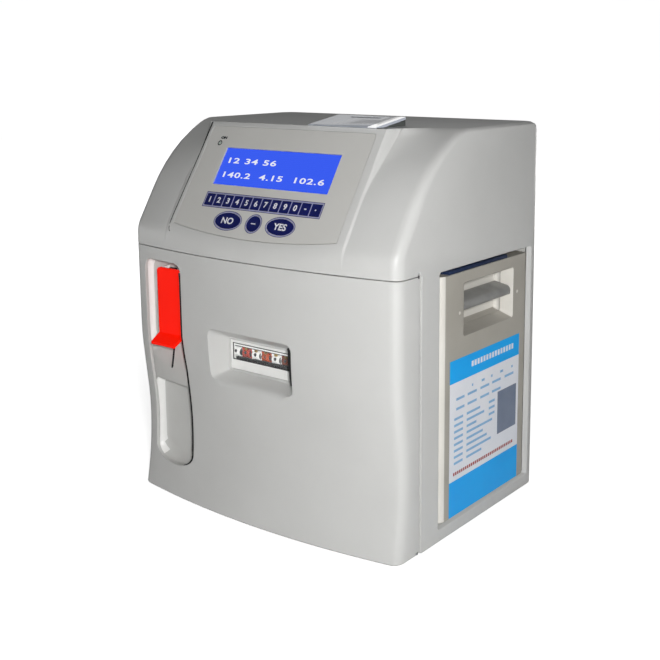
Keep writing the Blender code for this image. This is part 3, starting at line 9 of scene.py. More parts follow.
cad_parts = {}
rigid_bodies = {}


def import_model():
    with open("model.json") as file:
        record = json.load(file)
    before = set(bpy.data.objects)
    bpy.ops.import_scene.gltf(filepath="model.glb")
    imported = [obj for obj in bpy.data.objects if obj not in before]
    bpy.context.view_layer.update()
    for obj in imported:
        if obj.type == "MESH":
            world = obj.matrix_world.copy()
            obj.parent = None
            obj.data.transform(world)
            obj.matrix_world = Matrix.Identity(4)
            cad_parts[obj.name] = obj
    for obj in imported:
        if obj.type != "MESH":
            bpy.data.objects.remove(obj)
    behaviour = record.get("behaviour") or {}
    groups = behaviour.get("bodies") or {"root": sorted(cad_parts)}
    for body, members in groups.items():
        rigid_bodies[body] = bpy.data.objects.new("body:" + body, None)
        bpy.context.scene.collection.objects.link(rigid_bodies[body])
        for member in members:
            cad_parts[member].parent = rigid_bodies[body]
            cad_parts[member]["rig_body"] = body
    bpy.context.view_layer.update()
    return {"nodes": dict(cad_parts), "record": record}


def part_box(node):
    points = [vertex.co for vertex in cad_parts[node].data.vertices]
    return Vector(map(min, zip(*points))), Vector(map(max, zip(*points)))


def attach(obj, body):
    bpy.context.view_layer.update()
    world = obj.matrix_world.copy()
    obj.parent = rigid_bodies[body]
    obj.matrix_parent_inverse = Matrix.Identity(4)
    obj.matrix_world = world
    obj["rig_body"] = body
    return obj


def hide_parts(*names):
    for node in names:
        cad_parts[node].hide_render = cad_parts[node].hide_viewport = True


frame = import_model()
nodes = frame["nodes"]
slotOfNode = {part["node"]: part["material_slot"] for part in frame["record"]["subparts"]}
mm = 0.001
print("frame loaded,", len(nodes), "nodes")


def linearColour(hexText):
    values = [int(hexText[i:i + 2], 16) / 255 for i in (0, 2, 4)]
    values = [v / 12.92 if v <= 0.04045 else ((v + 0.055) / 1.055) ** 2.4 for v in values]
    return (*values, 1.0)


def addNode(tree, kind, settings=None, links=None, ramp=None):
    node = tree.nodes.new(kind)
    for key, value in (settings or {}).items():
        if isinstance(key, str) and hasattr(node, key):
            setattr(node, key, value)
        else:
            node.inputs[key].default_value = value
    for key, socket in (links or {}).items():
        tree.links.new(socket, node.inputs[key])
    for i, (place, value) in enumerate(ramp or []):
        step = node.color_ramp.elements[i] if i < 2 else node.color_ramp.elements.new(place)
        step.position = place
        step.color = value
    return node


def deselect():
    if bpy.context.object and bpy.context.object.mode != "OBJECT":
        bpy.ops.object.mode_set(mode="OBJECT")
    bpy.ops.object.select_all(action="DESELECT")


def pick(piece):
    deselect()
    piece.select_set(True)
    bpy.context.view_layer.objects.active = piece
    return piece


def selectEdges(piece, wanted):
    # wanted gets the edge's two ends and the angle between its two faces in degrees
    bpy.ops.object.mode_set(mode="EDIT")
    bpy.ops.mesh.select_mode(type="EDGE")
    bpy.ops.mesh.select_all(action="DESELECT")
    work = bmesh.from_edit_mesh(piece.data)
    for edge in work.edges:
        turn = math.degrees(edge.calc_face_angle(0.0)) if len(edge.link_faces) == 2 else 90.0
        edge.select = wanted(edge.verts[0].co, edge.verts[1].co, turn)
    work.select_flush_mode()
    bmesh.update_edit_mesh(piece.data)


def settle(piece):
    # moves the object's place into its mesh, as a CAD node has it
    deselect()
    piece.data.transform(piece.matrix_world)
    piece.matrix_world = Matrix.Identity(4)
    return piece


def place(piece, finish, body, slot, smooth=32.0, instead=()):
    pick(piece)
    if piece.type != "MESH":
        bpy.ops.object.convert(target="MESH")
    settle(piece)
    pick(piece)
    if finish:
        piece.data.materials.clear()
        piece.data.materials.append(finish)
    if smooth:
        bpy.ops.object.shade_smooth_by_angle(angle=math.radians(smooth))
    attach(piece, body)
    if instead:
        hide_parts(*instead)
    deselect()
    return piece


def applyModifier(piece, kind, **settings):
    pick(piece)
    modifier = piece.modifiers.new(kind.lower(), kind)
    for key, value in settings.items():
        setattr(modifier, key, value)
    bpy.ops.object.modifier_apply(modifier=modifier.name)


def boxAt(name, low, high):
    # a box between two corners, in millimetres
    deselect()
    middle = [(a + b) / 2 * mm for a, b in zip(low, high)]
    bpy.ops.mesh.primitive_cube_add(size=1.0, location=middle)
    piece = bpy.context.object
    piece.name = name
    piece.scale = [(b - a) * mm for a, b in zip(low, high)]
    return settle(piece)


def discAt(name, middle, radius, depth, axis="Z", sides=24):
    # a flat round piece round an axis, middle and sizes in millimetres
    deselect()
    turn = {"X": (0, math.pi / 2, 0), "Y": (math.pi / 2, 0, 0), "Z": (0, 0, 0)}[axis]
    bpy.ops.mesh.primitive_cylinder_add(vertices=sides, radius=radius * mm, depth=depth * mm,
                                        location=[v * mm for v in middle], rotation=turn)
    piece = bpy.context.object
    piece.name = name
    return settle(piece)


def roundOff(piece, width, steps=3, wanted=None, sharp=40.0):
    # bevels the chosen edges of a piece, width in millimetres
    pick(piece)
    selectEdges(piece, lambda a, b, turn: turn > sharp and (wanted is None or wanted(a, b)))
    bpy.ops.mesh.bevel(offset=width * mm, segments=steps, affect="EDGES", clamp_overlap=True)
    bpy.ops.object.mode_set(mode="OBJECT")
    return piece


# shares that spread any number of points evenly over a triangle, and how fast a far point counts less
evenSpread = {"across": 0.7548777, "along": 0.5698403, "fade": 4}


def evenShading(piece, reach, spacing, limit, keep=()):
    # gives a faceted skin the normals of the smooth form it stands for: each corner takes the mean
    # normal of points spaced over the skin within reach of it, both in millimetres, short of edges
    # sharper than limit; the corners in keep have a fine mesh round them and take its own normal
    mesh = piece.data
    mesh.calc_loop_triangles()
    tree = KDTree(sum(max(1, math.ceil(t.area / (spacing * mm) ** 2)) for t in mesh.loop_triangles))
    leanings, weights = [], []
    for triangle in mesh.loop_triangles:
        a, b, c = (mesh.vertices[i].co for i in triangle.vertices)
        count = max(1, math.ceil(triangle.area / (spacing * mm) ** 2))
        for i in range(count):
            s, t = (0.5 + evenSpread["across"] * i) % 1.0, (0.5 + evenSpread["along"] * i) % 1.0
            if s + t > 1.0:
                s, t = 1.0 - s, 1.0 - t
            tree.insert(a + (b - a) * s + (c - a) * t, len(weights))
            leanings.append(triangle.normal)
            weights.append(triangle.area / count)
    tree.balance()
    work = bmesh.new()
    work.from_mesh(mesh)
    cosLimit = math.cos(math.radians(limit))
    normals = [Vector((0, 0, 1))] * len(mesh.loops)
    work.faces.ensure_lookup_table()
    loopIndex = {(face.index, loop.vert.index): mesh.polygons[face.index].loop_start + i
                 for face in work.faces for i, loop in enumerate(face.loops)}
    for vert in work.verts:
        left = set(vert.link_faces)
        near = [(leanings[i], weights[i] * math.exp(-evenSpread["fade"] * (d / (reach * mm)) ** 2))
                for _, i, d in tree.find_range(vert.co, reach * mm)]
        while left:
            fan, queue = [], [left.pop()]
            while queue:
                face = queue.pop()
                fan.append(face)
                for edge in face.edges:
                    if vert in edge.verts:
                        for other in edge.link_faces:
                            if other in left and other.normal.dot(face.normal) > cosLimit:
                                left.discard(other)
                                queue.append(other)
            middle = Vector((0, 0, 0))
            for face in fan:
                corner = next(loop for loop in face.loops if loop.vert == vert)
                middle += face.normal * corner.calc_angle()
            middle.normalize()
            even = Vector((0, 0, 0))
            for leaning, weight in near:
                likeness = leaning.dot(middle) - cosLimit
                if likeness > 0:
                    even += leaning * (weight * likeness)
            own = even.length < 1e-12 or spotKey(vert.co) in keep
            even = middle if own else even.normalized()
            for face in fan:
                normals[loopIndex[(face.index, vert.index)]] = even
    work.free()
    mesh.normals_split_custom_set(normals)


def spotKey(spot):
    # a vertex's place in hundredths of a millimetre
    return tuple(round(v / mm * 100) for v in spot)


def joined(name, pieces):
    pick(pieces[0])
    for piece in pieces[1:]:
        piece.select_set(True)
    if len(pieces) > 1:
        bpy.ops.object.join()
    pieces[0].name = name
    deselect()
    return pieces[0]


def meshPiece(name, work):
    bmesh.ops.recalc_face_normals(work, faces=work.faces)
    mesh = bpy.data.meshes.new(name)
    work.to_mesh(mesh)
    work.free()
    piece = bpy.data.objects.new(name, mesh)
    bpy.context.scene.collection.objects.link(piece)
    return piece


def bored(piece, cutter):
    # cuts the second piece out of the first and removes it
    applyModifier(piece, "BOOLEAN", operation="DIFFERENCE", solver="EXACT", object=cutter)
    bpy.data.objects.remove(cutter)
    return piece


def copied(piece, name, shift):
    # a copy with its own mesh, moved by shift in millimetres
    twin = bpy.data.objects.new(name, piece.data.copy())
    bpy.context.scene.collection.objects.link(twin)
    twin.data.transform(Matrix.Translation([v * mm for v in shift]))
    return twin


reliefMm = 0.04  # depth of every grain, scaled by its look's bump


def makeFinish(name, look):
    material = bpy.data.materials.new(name)
    material.use_nodes = True
    tree = material.node_tree
    shader = tree.nodes["Principled BSDF"]
    spot = addNode(tree, "ShaderNodeTexCoord").outputs["Object"]
    run = addNode(tree, "ShaderNodeMapping", {"Scale": look.get("stretch", (1, 1, 1))},
                  {"Vector": spot}).outputs[0]
    mottle = addNode(tree, "ShaderNodeTexNoise",
                     {"Scale": 1 / (look["mottleMm"] * mm), "Detail": 4.0, "Roughness": 0.55},
                     {"Vector": spot}).outputs[0]
    grain = addNode(tree, "ShaderNodeTexNoise",
                    {"Scale": 1 / (look["grainMm"] * mm), "Detail": 2.0, "Roughness": 0.6},
                    {"Vector": run}).outputs[0]
    tone = addNode(tree, "ShaderNodeValToRGB", None, {"Fac": mottle},
                   [(0.3, linearColour(look["dark"])), (0.7, linearColour(look["light"]))]).outputs[0]
    rounded = addNode(tree, "ShaderNodeBevel",
                      {"samples": 4, "Radius": look.get("edgeMm", 0.5) * mm}).outputs[0]
    facing = addNode(tree, "ShaderNodeNewGeometry").outputs["Normal"]
    turned = addNode(tree, "ShaderNodeVectorMath", {"operation": "DOT_PRODUCT"},
                     {0: rounded, 1: facing}).outputs["Value"]
    worn = addNode(tree, "ShaderNodeMapRange",
                   {"From Min": 0.98, "From Max": 0.80, "To Min": 0.0, "To Max": look.get("wear", 0.35)},
                   {"Value": turned}).outputs[0]
    ragged = addNode(tree, "ShaderNodeMath", {"operation": "MULTIPLY"}, {0: worn, 1: grain}).outputs[0]
    rubbed = addNode(tree, "ShaderNodeMix", {"data_type": "RGBA"}, {0: ragged, 6: tone}).outputs[2]
    rubbed.node.inputs[7].default_value = linearColour(look.get("worn", look["light"]))
    tree.links.new(rubbed, shader.inputs["Base Color"])
    low, high = look["rough"]
    gloss = addNode(tree, "ShaderNodeMapRange",
                    {"From Min": 0.25, "From Max": 0.75, "To Min": low, "To Max": high},
                    {"Value": grain}).outputs[0]
    tree.links.new(gloss, shader.inputs["Roughness"])
    bump = addNode(tree, "ShaderNodeBump", {"Strength": look["bump"], "Distance": reliefMm * mm},
                   {"Height": grain, "Normal": rounded}).outputs[0]
    tree.links.new(bump, shader.inputs["Normal"])
    for key, value in look.get("shader", {}).items():
        shader.inputs[key].default_value = value
    return material


# what each real material gives the eye stands over its row; a row has these columns, in which tones are
# hex colours and sizes millimetres, and then what only some finishes have
lookColumns = ("light", "dark", "worn", "mottleMm", "grainMm", "rough", "bump")
looks = {
    # moulded ABS, spark eroded mould: warm gray satin, even, a soft sheen on rounded edges
    "mouldedAbsCasing": ("CFCFCD", "CBCBC9", "DCDCDA", 70, 0.9, (0.36, 0.46), 0.10, {"edgeMm": 0.8}),
    # the same resin in a polished mould: lighter and a little glossier inside the recesses
    "mouldedAbsWell": ("CFCFCC", "C8C8C5", "DEDEDB", 40, 0.9, (0.34, 0.44), 0.10, {"edgeMm": 1.2}),
    # moulded frame in fine gloss ABS: cleaner and brighter than the casing; also laid on the sample well's
    # left walls as painted light
    "mouldedFrameAndWellLight": ("FAFAF8", "F2F2EF", "FFFFFF", 25, 0.6, (0.28, 0.36), 0.06, {"edgeMm": 0.4}),
    # zinc plated sheet: cold gray, soft spangle, brighter rubbed edges
    "zincSheet": ("B4B7B9", "9DA1A3", "D8DADC", 9, 1.2, (0.32, 0.5), 0.12, {"shader": {"Metallic": 0.9}}),
    # powder coated sheet: matt orange-peel skin
    "powderCoat": ("A0A3A3", "969999", "B8BABA", 30, 1.4, (0.5, 0.62), 0.35),
    # moulded rubber: dull black with dusty gray edges
    "mouldedRubber": ("232324", "171718", "454545", 8, 0.5, (0.7, 0.85), 0.3),
    # glass filled nylon: satin black, faint flow marks
    "blackNylon": ("242427", "18181A", "3E3E42", 12, 0.7, (0.36, 0.5), 0.15),
    # ground steel: bright with fine rings round its turned axis
    "groundSteel": ("CDD0D2", "B4B8BA", "E6E8E9", 5, 0.5, (0.2, 0.34), 0.08,
                    {"stretch": (1, 1, 6), "shader": {"Metallic": 1.0}}),
    # sintered ferrite: black, slightly mottled
    "sinteredFerrite": ("2A2A2D", "1C1C1F", "4A4A4E", 4, 0.5, (0.45, 0.6), 0.2),
    # injection moulded red ABS, polished: saturated orange red with a clear gloss, and a red emission that
    # paints extra light on it so it glows brighter than the lamps make it
    "glowingRedAbs": ("FB1A00", "F41500", "FF4428", 30, 2.5, (0.30, 0.36), 0.02,
                    {"edgeMm": 0.4, "wear": 0.15, "shader": {"Specular IOR Level": 0.3,
                                                             "Emission Color": linearColour("FF1200"),
                                                             "Emission Strength": 0.34}}),
    # drawn needle steel, oxidised dark
    "oxidisedSteel": ("343437", "1E1E21", "77777C", 3, 0.4, (0.28, 0.4), 0.08,
                      {"shader": {"Metallic": 0.9}}),
    # machined acetal: milky white with a waxy sheen
    "whiteAcetal": ("EAEAE6", "DFDFDA", "F6F6F2", 12, 0.6, (0.32, 0.42), 0.08,
                    {"shader": {"Subsurface Weight": 0.1, "Subsurface Scale": 0.002}}),
    # glossy moulded shells of the electrodes; the white ones glow with a white emission, painted light that
    # brightens them past what the lamps give
    "redElectrode": ("D8462E", "B93420", "F08068", 5, 0.5, (0.18, 0.28), 0.05,
                     {"shader": {"Coat Weight": 0.5}}),
    "whiteElectrode": ("F8F8F6", "ECEBE6", "FFFFFF", 5, 0.5, (0.14, 0.22), 0.05,
                       {"shader": {"Coat Weight": 0.8, "Emission Color": linearColour("FFFFFF"),
                                   "Emission Strength": 0.28}}),
    "orangeElectrode": ("E0602C", "B8431B", "F59A70", 5, 0.5, (0.18, 0.28), 0.05,
                        {"shader": {"Coat Weight": 0.5}}),
    "brownElectrode": ("9A4A2A", "74301A", "C07858", 5, 0.5, (0.2, 0.3), 0.05,
                       {"shader": {"Coat Weight": 0.5}}),
    # pump housing in glass filled nylon, mid gray
    "pumpNylon": ("505257", "45474B", "6E7075", 15, 0.8, (0.4, 0.52), 0.15),
    # silicone tube: milky, waxy, slightly see-through
    "siliconeTube": ("E9E5DA", "D8D2C2", "F5F2EA", 8, 0.6, (0.3, 0.4), 0.05,
                     {"shader": {"Transmission Weight": 0.25, "Subsurface Weight": 0.2,
                                 "Subsurface Scale": 0.003}}),
    # blued steel: dark, oily
    "bluedSteel": ("454B53", "343940", "8A9098", 10, 0.5, (0.3, 0.42), 0.08, {"shader": {"Metallic": 0.7}}),
    # green solder lacquer over copper tracks
    "greenLacquer": ("25683F", "184A2B", "4E8C66", 3, 0.8, (0.28, 0.42), 0.2),
    # black epoxy of chips
    "chipEpoxy": ("252528", "1A1A1C", "3A3A3E", 3, 0.4, (0.5, 0.6), 0.15),
    # printed polyester film: very even, satin, same gray as the casing
    "printedFilm": ("CFCECA", "CBCAC6", "DBDAD6", 60, 0.5, (0.30, 0.36), 0.03, {"edgeMm": 0.3}),
    # clear green lens of the power light, unlit
    "greenLens": ("B4BFB8", "9CA8A0", "D0D8D4", 2, 0.3, (0.12, 0.2), 0.02,
                  {"shader": {"Coat Weight": 0.6}}),
    # navy ink under the film of the keys, slightly domed
    "navyKey": ("161D62", "121852", "2B3380", 12, 0.4, (0.26, 0.34), 0.04, {"edgeMm": 0.25}),
    # pale lavender ink line round the keys
    "lavenderInk": ("A9A9CE", "A0A0C6", "B8B8D8", 8, 0.4, (0.34, 0.42), 0.02, {"edgeMm": 0.1, "wear": 0.0}),
    # white ink of the key legends
    "whiteInk": ("F4F4F6", "E6E6EA", "FFFFFF", 4, 0.4, (0.34, 0.42), 0.02, {"edgeMm": 0.1, "wear": 0.0}),
    # dark gray ink on the film
    "grayInk": ("303036", "28282C", "4A4A4E", 4, 0.4, (0.4, 0.5), 0.02, {"edgeMm": 0.1, "wear": 0.0}),
    # dark moulded bezel of the printer
    "printerMoulding": ("5E6260", "525654", "7C807E", 20, 0.8, (0.42, 0.54), 0.15),
    # printer lid, pale glossy ABS that mirrors the ceiling; a faint emission paints extra light on it
    "glowingLidAbs": ("C4C9D4", "B8BDC9", "ECEEF2", 20, 0.7, (0.2, 0.26), 0.02,
               {"edgeMm": 0.6, "shader": {"Coat Weight": 1.0, "Coat Roughness": 0.16,
                                          "Emission Color": linearColour("DCE2EE"),
                                          "Emission Strength": 0.12}}),
    # painted highlight: clear coated white with a strong glow on the right part of the lid's top, standing
    # for the lamp's reflection there
    "lidHighlightPaint": ("FAFBFC", "F2F3F5", "FFFFFF", 20, 0.7, (0.14, 0.2), 0.03,
                  {"edgeMm": 0.4, "shader": {"Coat Weight": 1.0, "Emission Color": linearColour("FFFFFF"),
                                             "Emission Strength": 0.85}}),
    # painted highlight: a paler, glossier tone of the pack's plastic for its rounded outer edges and the
    # walls of its grip, where they face the lamp
    "packPaintedLight": ("E2DFD8", "DAD7CF", "F2F0EA", 45, 0.9, (0.28, 0.38), 0.06, {"edgeMm": 0.8}),
    # deep blue printed card folded over the top of the pack
    "navyCard": ("1C2E52", "162544", "3C5080", 20, 0.6, (0.4, 0.5), 0.06),
    # thermal paper: soft white, faint fibre
    "thermalPaper": ("F4F4F1", "ECECE8", "FFFFFF", 6, 0.5, (0.6, 0.7), 0.15),
    # liner of the bay, pale moulding in shade
    "linerAbs": ("C6C6C2", "BDBDB8", "D8D8D4", 40, 0.9, (0.4, 0.5), 0.12),
    # reagent pack, beige gray polystyrene: warmer and duller than the cabinet
    "packStyrene": ("B1ADA4", "A8A49B", "E6E4DE", 45, 0.9, (0.38, 0.5), 0.12, {"edgeMm": 1.2, "wear": 0.5}),
    # dark gray fold-in handle
    "handleNylon": ("969694", "888886", "B4B4B2", 14, 0.7, (0.34, 0.46), 0.12),
    # coated paper of the label with its inks
    "labelBlue": ("06B0FF", "02A8FA", "4EB6F6", 40, 0.5, (0.4, 0.48), 0.04, {"wear": 0.0}),
    "labelWhite": ("F0F2F8", "E8EBF3", "F8F9FC", 40, 0.5, (0.26, 0.34), 0.04, {"wear": 0.0}),
    "labelSlate": ("7F8A9F", "748096", "8F9AAE", 14, 0.5, (0.26, 0.34), 0.04, {"wear": 0.0}),
    "labelSky": ("8FBFE6", "84B6E0", "A0CAEC", 10, 0.5, (0.3, 0.38), 0.03, {"wear": 0.0}),
    "labelRed": ("B0403C", "A03632", "C0605C", 10, 0.5, (0.3, 0.38), 0.03, {"wear": 0.0}),
    # thin black rubber of the gaskets and the shelf, and the black of the strips that paint shadow along rims
    # and the console's edge
    "blackRubberAndShadow": ("101011", "0A0A0B", "242425", 6, 0.4, (0.5, 0.62), 0.1, {"edgeMm": 0.2}),
    # sprung brass contacts
    "brassContact": ("D2B36A", "B39450", "EAD49A", 3, 0.4, (0.22, 0.34), 0.05,
                     {"shader": {"Metallic": 1.0}}),
}


def lookOf(row):
    look = dict(zip(lookColumns, row))
    look.update(*row[len(lookColumns):])
    return look


finishes = {name: makeFinish(name, lookOf(row)) for name, row in looks.items()}


def litGlass(name, hexText, glow):
    # backlit display: even blue or white with a faint dot lattice, glossy cover
    look = lookOf(("10163A", "0D1230", "10163A", 30, 0.7, (0.08, 0.14), 0.0))
    lattice = {"pitchMm": 1.0, "dim": 0.93}  # real dots stand half a millimetre apart, too fine to show
    material = makeFinish(name, look)
    tree = material.node_tree
    shader = tree.nodes["Principled BSDF"]
    spot = addNode(tree, "ShaderNodeTexCoord").outputs["Object"]
    dots = addNode(tree, "ShaderNodeTexVoronoi", {"Scale": 1 / (lattice["pitchMm"] * mm), "Randomness": 0.0},
                   {"Vector": spot}).outputs[0]
    dim = tuple(v * lattice["dim"] for v in linearColour(hexText)[:3])
    glowTone = addNode(tree, "ShaderNodeValToRGB", None, {"Fac": dots},
                       [(0.2, linearColour(hexText)), (0.8, (*dim, 1.0))]).outputs[0]
    tree.links.new(glowTone, shader.inputs["Emission Color"])
    shader.inputs["Emission Strength"].default_value = glow
    return material


acrylic = {"scratchMm": 1.5, "shader": {"Base Color": linearColour("F6FAFB"), "Alpha": 0.05,
                                        "Specular IOR Level": 1.0, "IOR": 1.49}}


def clearPlastic(name):
    # cast acrylic window: nearly invisible, a crisp reflection, hair scratches in its gloss
    material = bpy.data.materials.new(name)
    material.use_nodes = True
    tree = material.node_tree
    shader = tree.nodes["Principled BSDF"]
    spot = addNode(tree, "ShaderNodeTexCoord").outputs["Object"]
    scratch = addNode(tree, "ShaderNodeTexNoise", {"Scale": 1 / (acrylic["scratchMm"] * mm), "Detail": 3.0},
                      {"Vector": spot}).outputs[0]
    gloss = addNode(tree, "ShaderNodeMapRange", {"To Min": 0.02, "To Max": 0.08},
                    {"Value": scratch}).outputs[0]
    tree.links.new(gloss, shader.inputs["Roughness"])
    for key, value in acrylic["shader"].items():
        shader.inputs[key].default_value = value
    return material


finishes["litDisplay"] = litGlass("litDisplay", "3A5FF8", 0.93)
finishes["castAcrylic"] = clearPlastic("castAcrylic")
finishes["litDigits"] = litGlass("litDigits", "F4F6FF", 0.9)
print("finishes made,", len(finishes))


# node: (finish, edge rounding in millimetres, steps)
nodeLooks = {
    "main_casing": ("mouldedAbsCasing", 0.0, 0), "front_door": ("mouldedAbsCasing", 0.0, 0),
    "sample_well": ("mouldedAbsWell", 0.0, 0), "window_frame": ("mouldedFrameAndWellLight", 0.25, 2),
    "sample_flap": ("glowingRedAbs", 0.5, 3), "flap_pin": ("groundSteel", 0.2, 2),
    "probe_arm": ("blackNylon", 0.3, 2), "sample_probe": ("oxidisedSteel", 0.0, 0),
    "electrode_holder": ("whiteAcetal", 0.4, 2), "electrode_1": ("redElectrode", 0.3, 2),
    "electrode_2": ("whiteElectrode", 0.3, 2), "electrode_3": ("orangeElectrode", 0.3, 2),
    "electrode_4": ("whiteElectrode", 0.3, 2), "electrode_5": ("brownElectrode", 0.3, 2),
    "clamp_lever": ("blackNylon", 0.5, 2), "pump_housing": ("pumpNylon", 0.5, 2),
    "pump_rotor": ("whiteAcetal", 0.3, 2), "pump_tube": ("siliconeTube", 0.0, 0),
    "pinch_valve": ("bluedSteel", 0.4, 2), "bulkhead": ("powderCoat", 0.0, 0),
    "base_plate": ("zincSheet", 0.0, 0), "rear_panel": ("powderCoat", 0.0, 0),
    "power_inlet": ("blackNylon", 0.3, 2), "power_switch": ("blackNylon", 0.5, 3),
    "hinge_bracket": ("zincSheet", 0.3, 2), "hinge_pin": ("groundSteel", 0.3, 2),
    "door_magnet": ("sinteredFerrite", 0.4, 2), "main_board": ("greenLacquer", 0.0, 0),
    "power_supply": ("zincSheet", 0.0, 0), "keypad_overlay": ("printedFilm", 0.0, 0),
    "lcd_module": ("bluedSteel", 0.0, 0), "power_led": ("greenLens", 0.2, 2),
    "printer_body": ("printerMoulding", 0.3, 2), "printer_lid": ("glowingLidAbs", 0.35, 3),
    "platen_roller": ("mouldedRubber", 0.2, 2), "paper_roll": ("thermalPaper", 0.2, 2),
    "bay_liner": ("linerAbs", 0.3, 2), "pack_case": ("packStyrene", 0.0, 0),
    "pack_cover": ("packStyrene", 0.0, 0), "pack_handle": ("handleNylon", 0.5, 3),
    "foot_front_left": ("mouldedRubber", 0.6, 3), "foot_front_right": ("mouldedRubber", 0.6, 3),
    "foot_rear_left": ("mouldedRubber", 0.6, 3), "foot_rear_right": ("mouldedRubber", 0.6, 3),
}
# node: (reach, spacing in millimetres, sharpest edge that is still smooth in degrees)
evenSkins = {"main_casing": (6.0, 2.0, 32.0), "front_door": (12.0, 3.0, 32.0),
             "sample_well": (6.0, 1.5, 40.0), "pack_cover": (3.0, 1.5, 32.0), "pack_handle": (2.5, 1.0, 40.0)}
# node: (lowest corner, highest corner of the box that holds the edges, rounding, steps)
mouthEdges = {"front_door": ((-41.0, -125.0, 120.0), (45.0, -112.0, 128.5), 6.0, 6)}
keyNodes = [name for name in nodes if name.startswith("key_")]
for name in keyNodes:
    nodeLooks[name] = ("navyKey", 0.15, 2)


# the step beside the console: where its edge is, outside and inside the wall, how it narrows toward the
# top, and how much of its width is the steep part between the two rounds
podStep = {"edges": (98.2, 95.2), "lowZ": 245.0, "narrowFrom": 308.2, "narrowTo": 348.4, "narrow": 0.6,
           "power": 1.3, "cuts": 9, "flat": 0.18}
# how near a vertex counts as on the step's edge or on the casing's top, how far past the edge the middle
# of a wall's face is at least, and how far a normal may lean up on a wall
stepFind = {"edge": 0.03, "top": 0.02, "past": 0.2, "lean": 0.97}


def shapePodStep(piece):
    # returns the places of the fine mesh that it makes
    spots = set()
    pick(piece)
    bpy.ops.object.mode_set(mode="EDIT")
    work = bmesh.from_edit_mesh(piece.data)
    topZ = max(v.co.z for v in work.verts)
    topFaces = [f for f in work.faces if all(topZ - v.co.z < stepFind["top"] * mm for v in f.verts)]
    bmesh.ops.delete(work, geom=topFaces, context="FACES")
    for edgeX in podStep["edges"]:
        def onEdge(vert):
            return abs(abs(vert.co.x) - edgeX * mm) < stepFind["edge"] * mm

        def onWall(face):
            x, y, z = face.calc_center_median()
            beside = abs(x) > (edgeX + stepFind["past"]) * mm and abs(face.normal.z) < stepFind["lean"]
            return beside and z > podStep["lowZ"] * mm and y < 0

        walls = [face for face in work.faces if any(onEdge(v) for v in face.verts) and onWall(face)]
        edgeY = {round(v.co.z / mm, 1): v.co.y for face in walls for v in face.verts if onEdge(v)}
        feet = {v for face in walls for v in face.verts if not onEdge(v)}
        footAt = {}
        for vert in feet:
            level = round(vert.co.z / mm, 1)
            if level not in edgeY:
                level = min(edgeY, key=lambda z: abs(z - level))
            rise = max(level - podStep["narrowFrom"], 0) / (podStep["narrowTo"] - podStep["narrowFrom"])
            share = 1 - podStep["narrow"] * rise ** podStep["power"]
            side = math.copysign(edgeX * mm, vert.co.x)
            vert.co.x = side + (vert.co.x - side) * share
            vert.co.y = edgeY[level] + (vert.co.y - edgeY[level]) * share
            footAt[level] = (abs(vert.co.x), vert.co.y)
        footSpots = {spotKey(v.co) for v in feet}
        if edgeX != podStep["edges"][0]:
            continue
        bmesh.ops.join_triangles(work, faces=walls, angle_face_threshold=math.pi,
                                 angle_shape_threshold=math.pi)
        rungs = [edge for edge in work.edges if {onEdge(v) for v in edge.verts} == {True, False}
                 and any(spotKey(v.co) in footSpots for v in edge.verts)]
        made = bmesh.ops.subdivide_edges(work, edges=rungs, cuts=podStep["cuts"])["geom_inner"]
        for vert in (v for v in made if isinstance(v, bmesh.types.BMVert)):
            level = min(footAt, key=lambda z: abs(z - vert.co.z / mm))
            footX, footY = footAt[level]
            across = (abs(vert.co.x) - edgeX * mm) / (footX - edgeX * mm)
            run = min(max((across - podStep["flat"]) / (1 - 2 * podStep["flat"]), 0), 1)
            vert.co.y = edgeY[level] + (footY - edgeY[level]) * run * run * (3 - 2 * run)
            spots.add(spotKey(vert.co))
        spots |= footSpots
    rim = [e for e in work.edges
           if e.is_boundary and all(topZ - v.co.z < stepFind["top"] * mm for v in e.verts)]
    filled = bmesh.ops.triangle_fill(work, use_beauty=True, use_dissolve=False, edges=rim)["geom"]
    for face in (f for f in filled if isinstance(f, bmesh.types.BMFace)):
        if face.normal.z < 0:
            face.normal_flip()
    bmesh.update_edit_mesh(piece.data)
    bpy.ops.object.mode_set(mode="OBJECT")
    return spots


# for every copy: how near corners are welded, in millimetres, up to which angle faces count as flat and
# from which one edges are rounded, in degrees, and how much large faces lead the shading
copyCare = {"weld": 0.01, "flat": 0.8, "mouthEdge": 30, "edge": 35, "lead": 80}


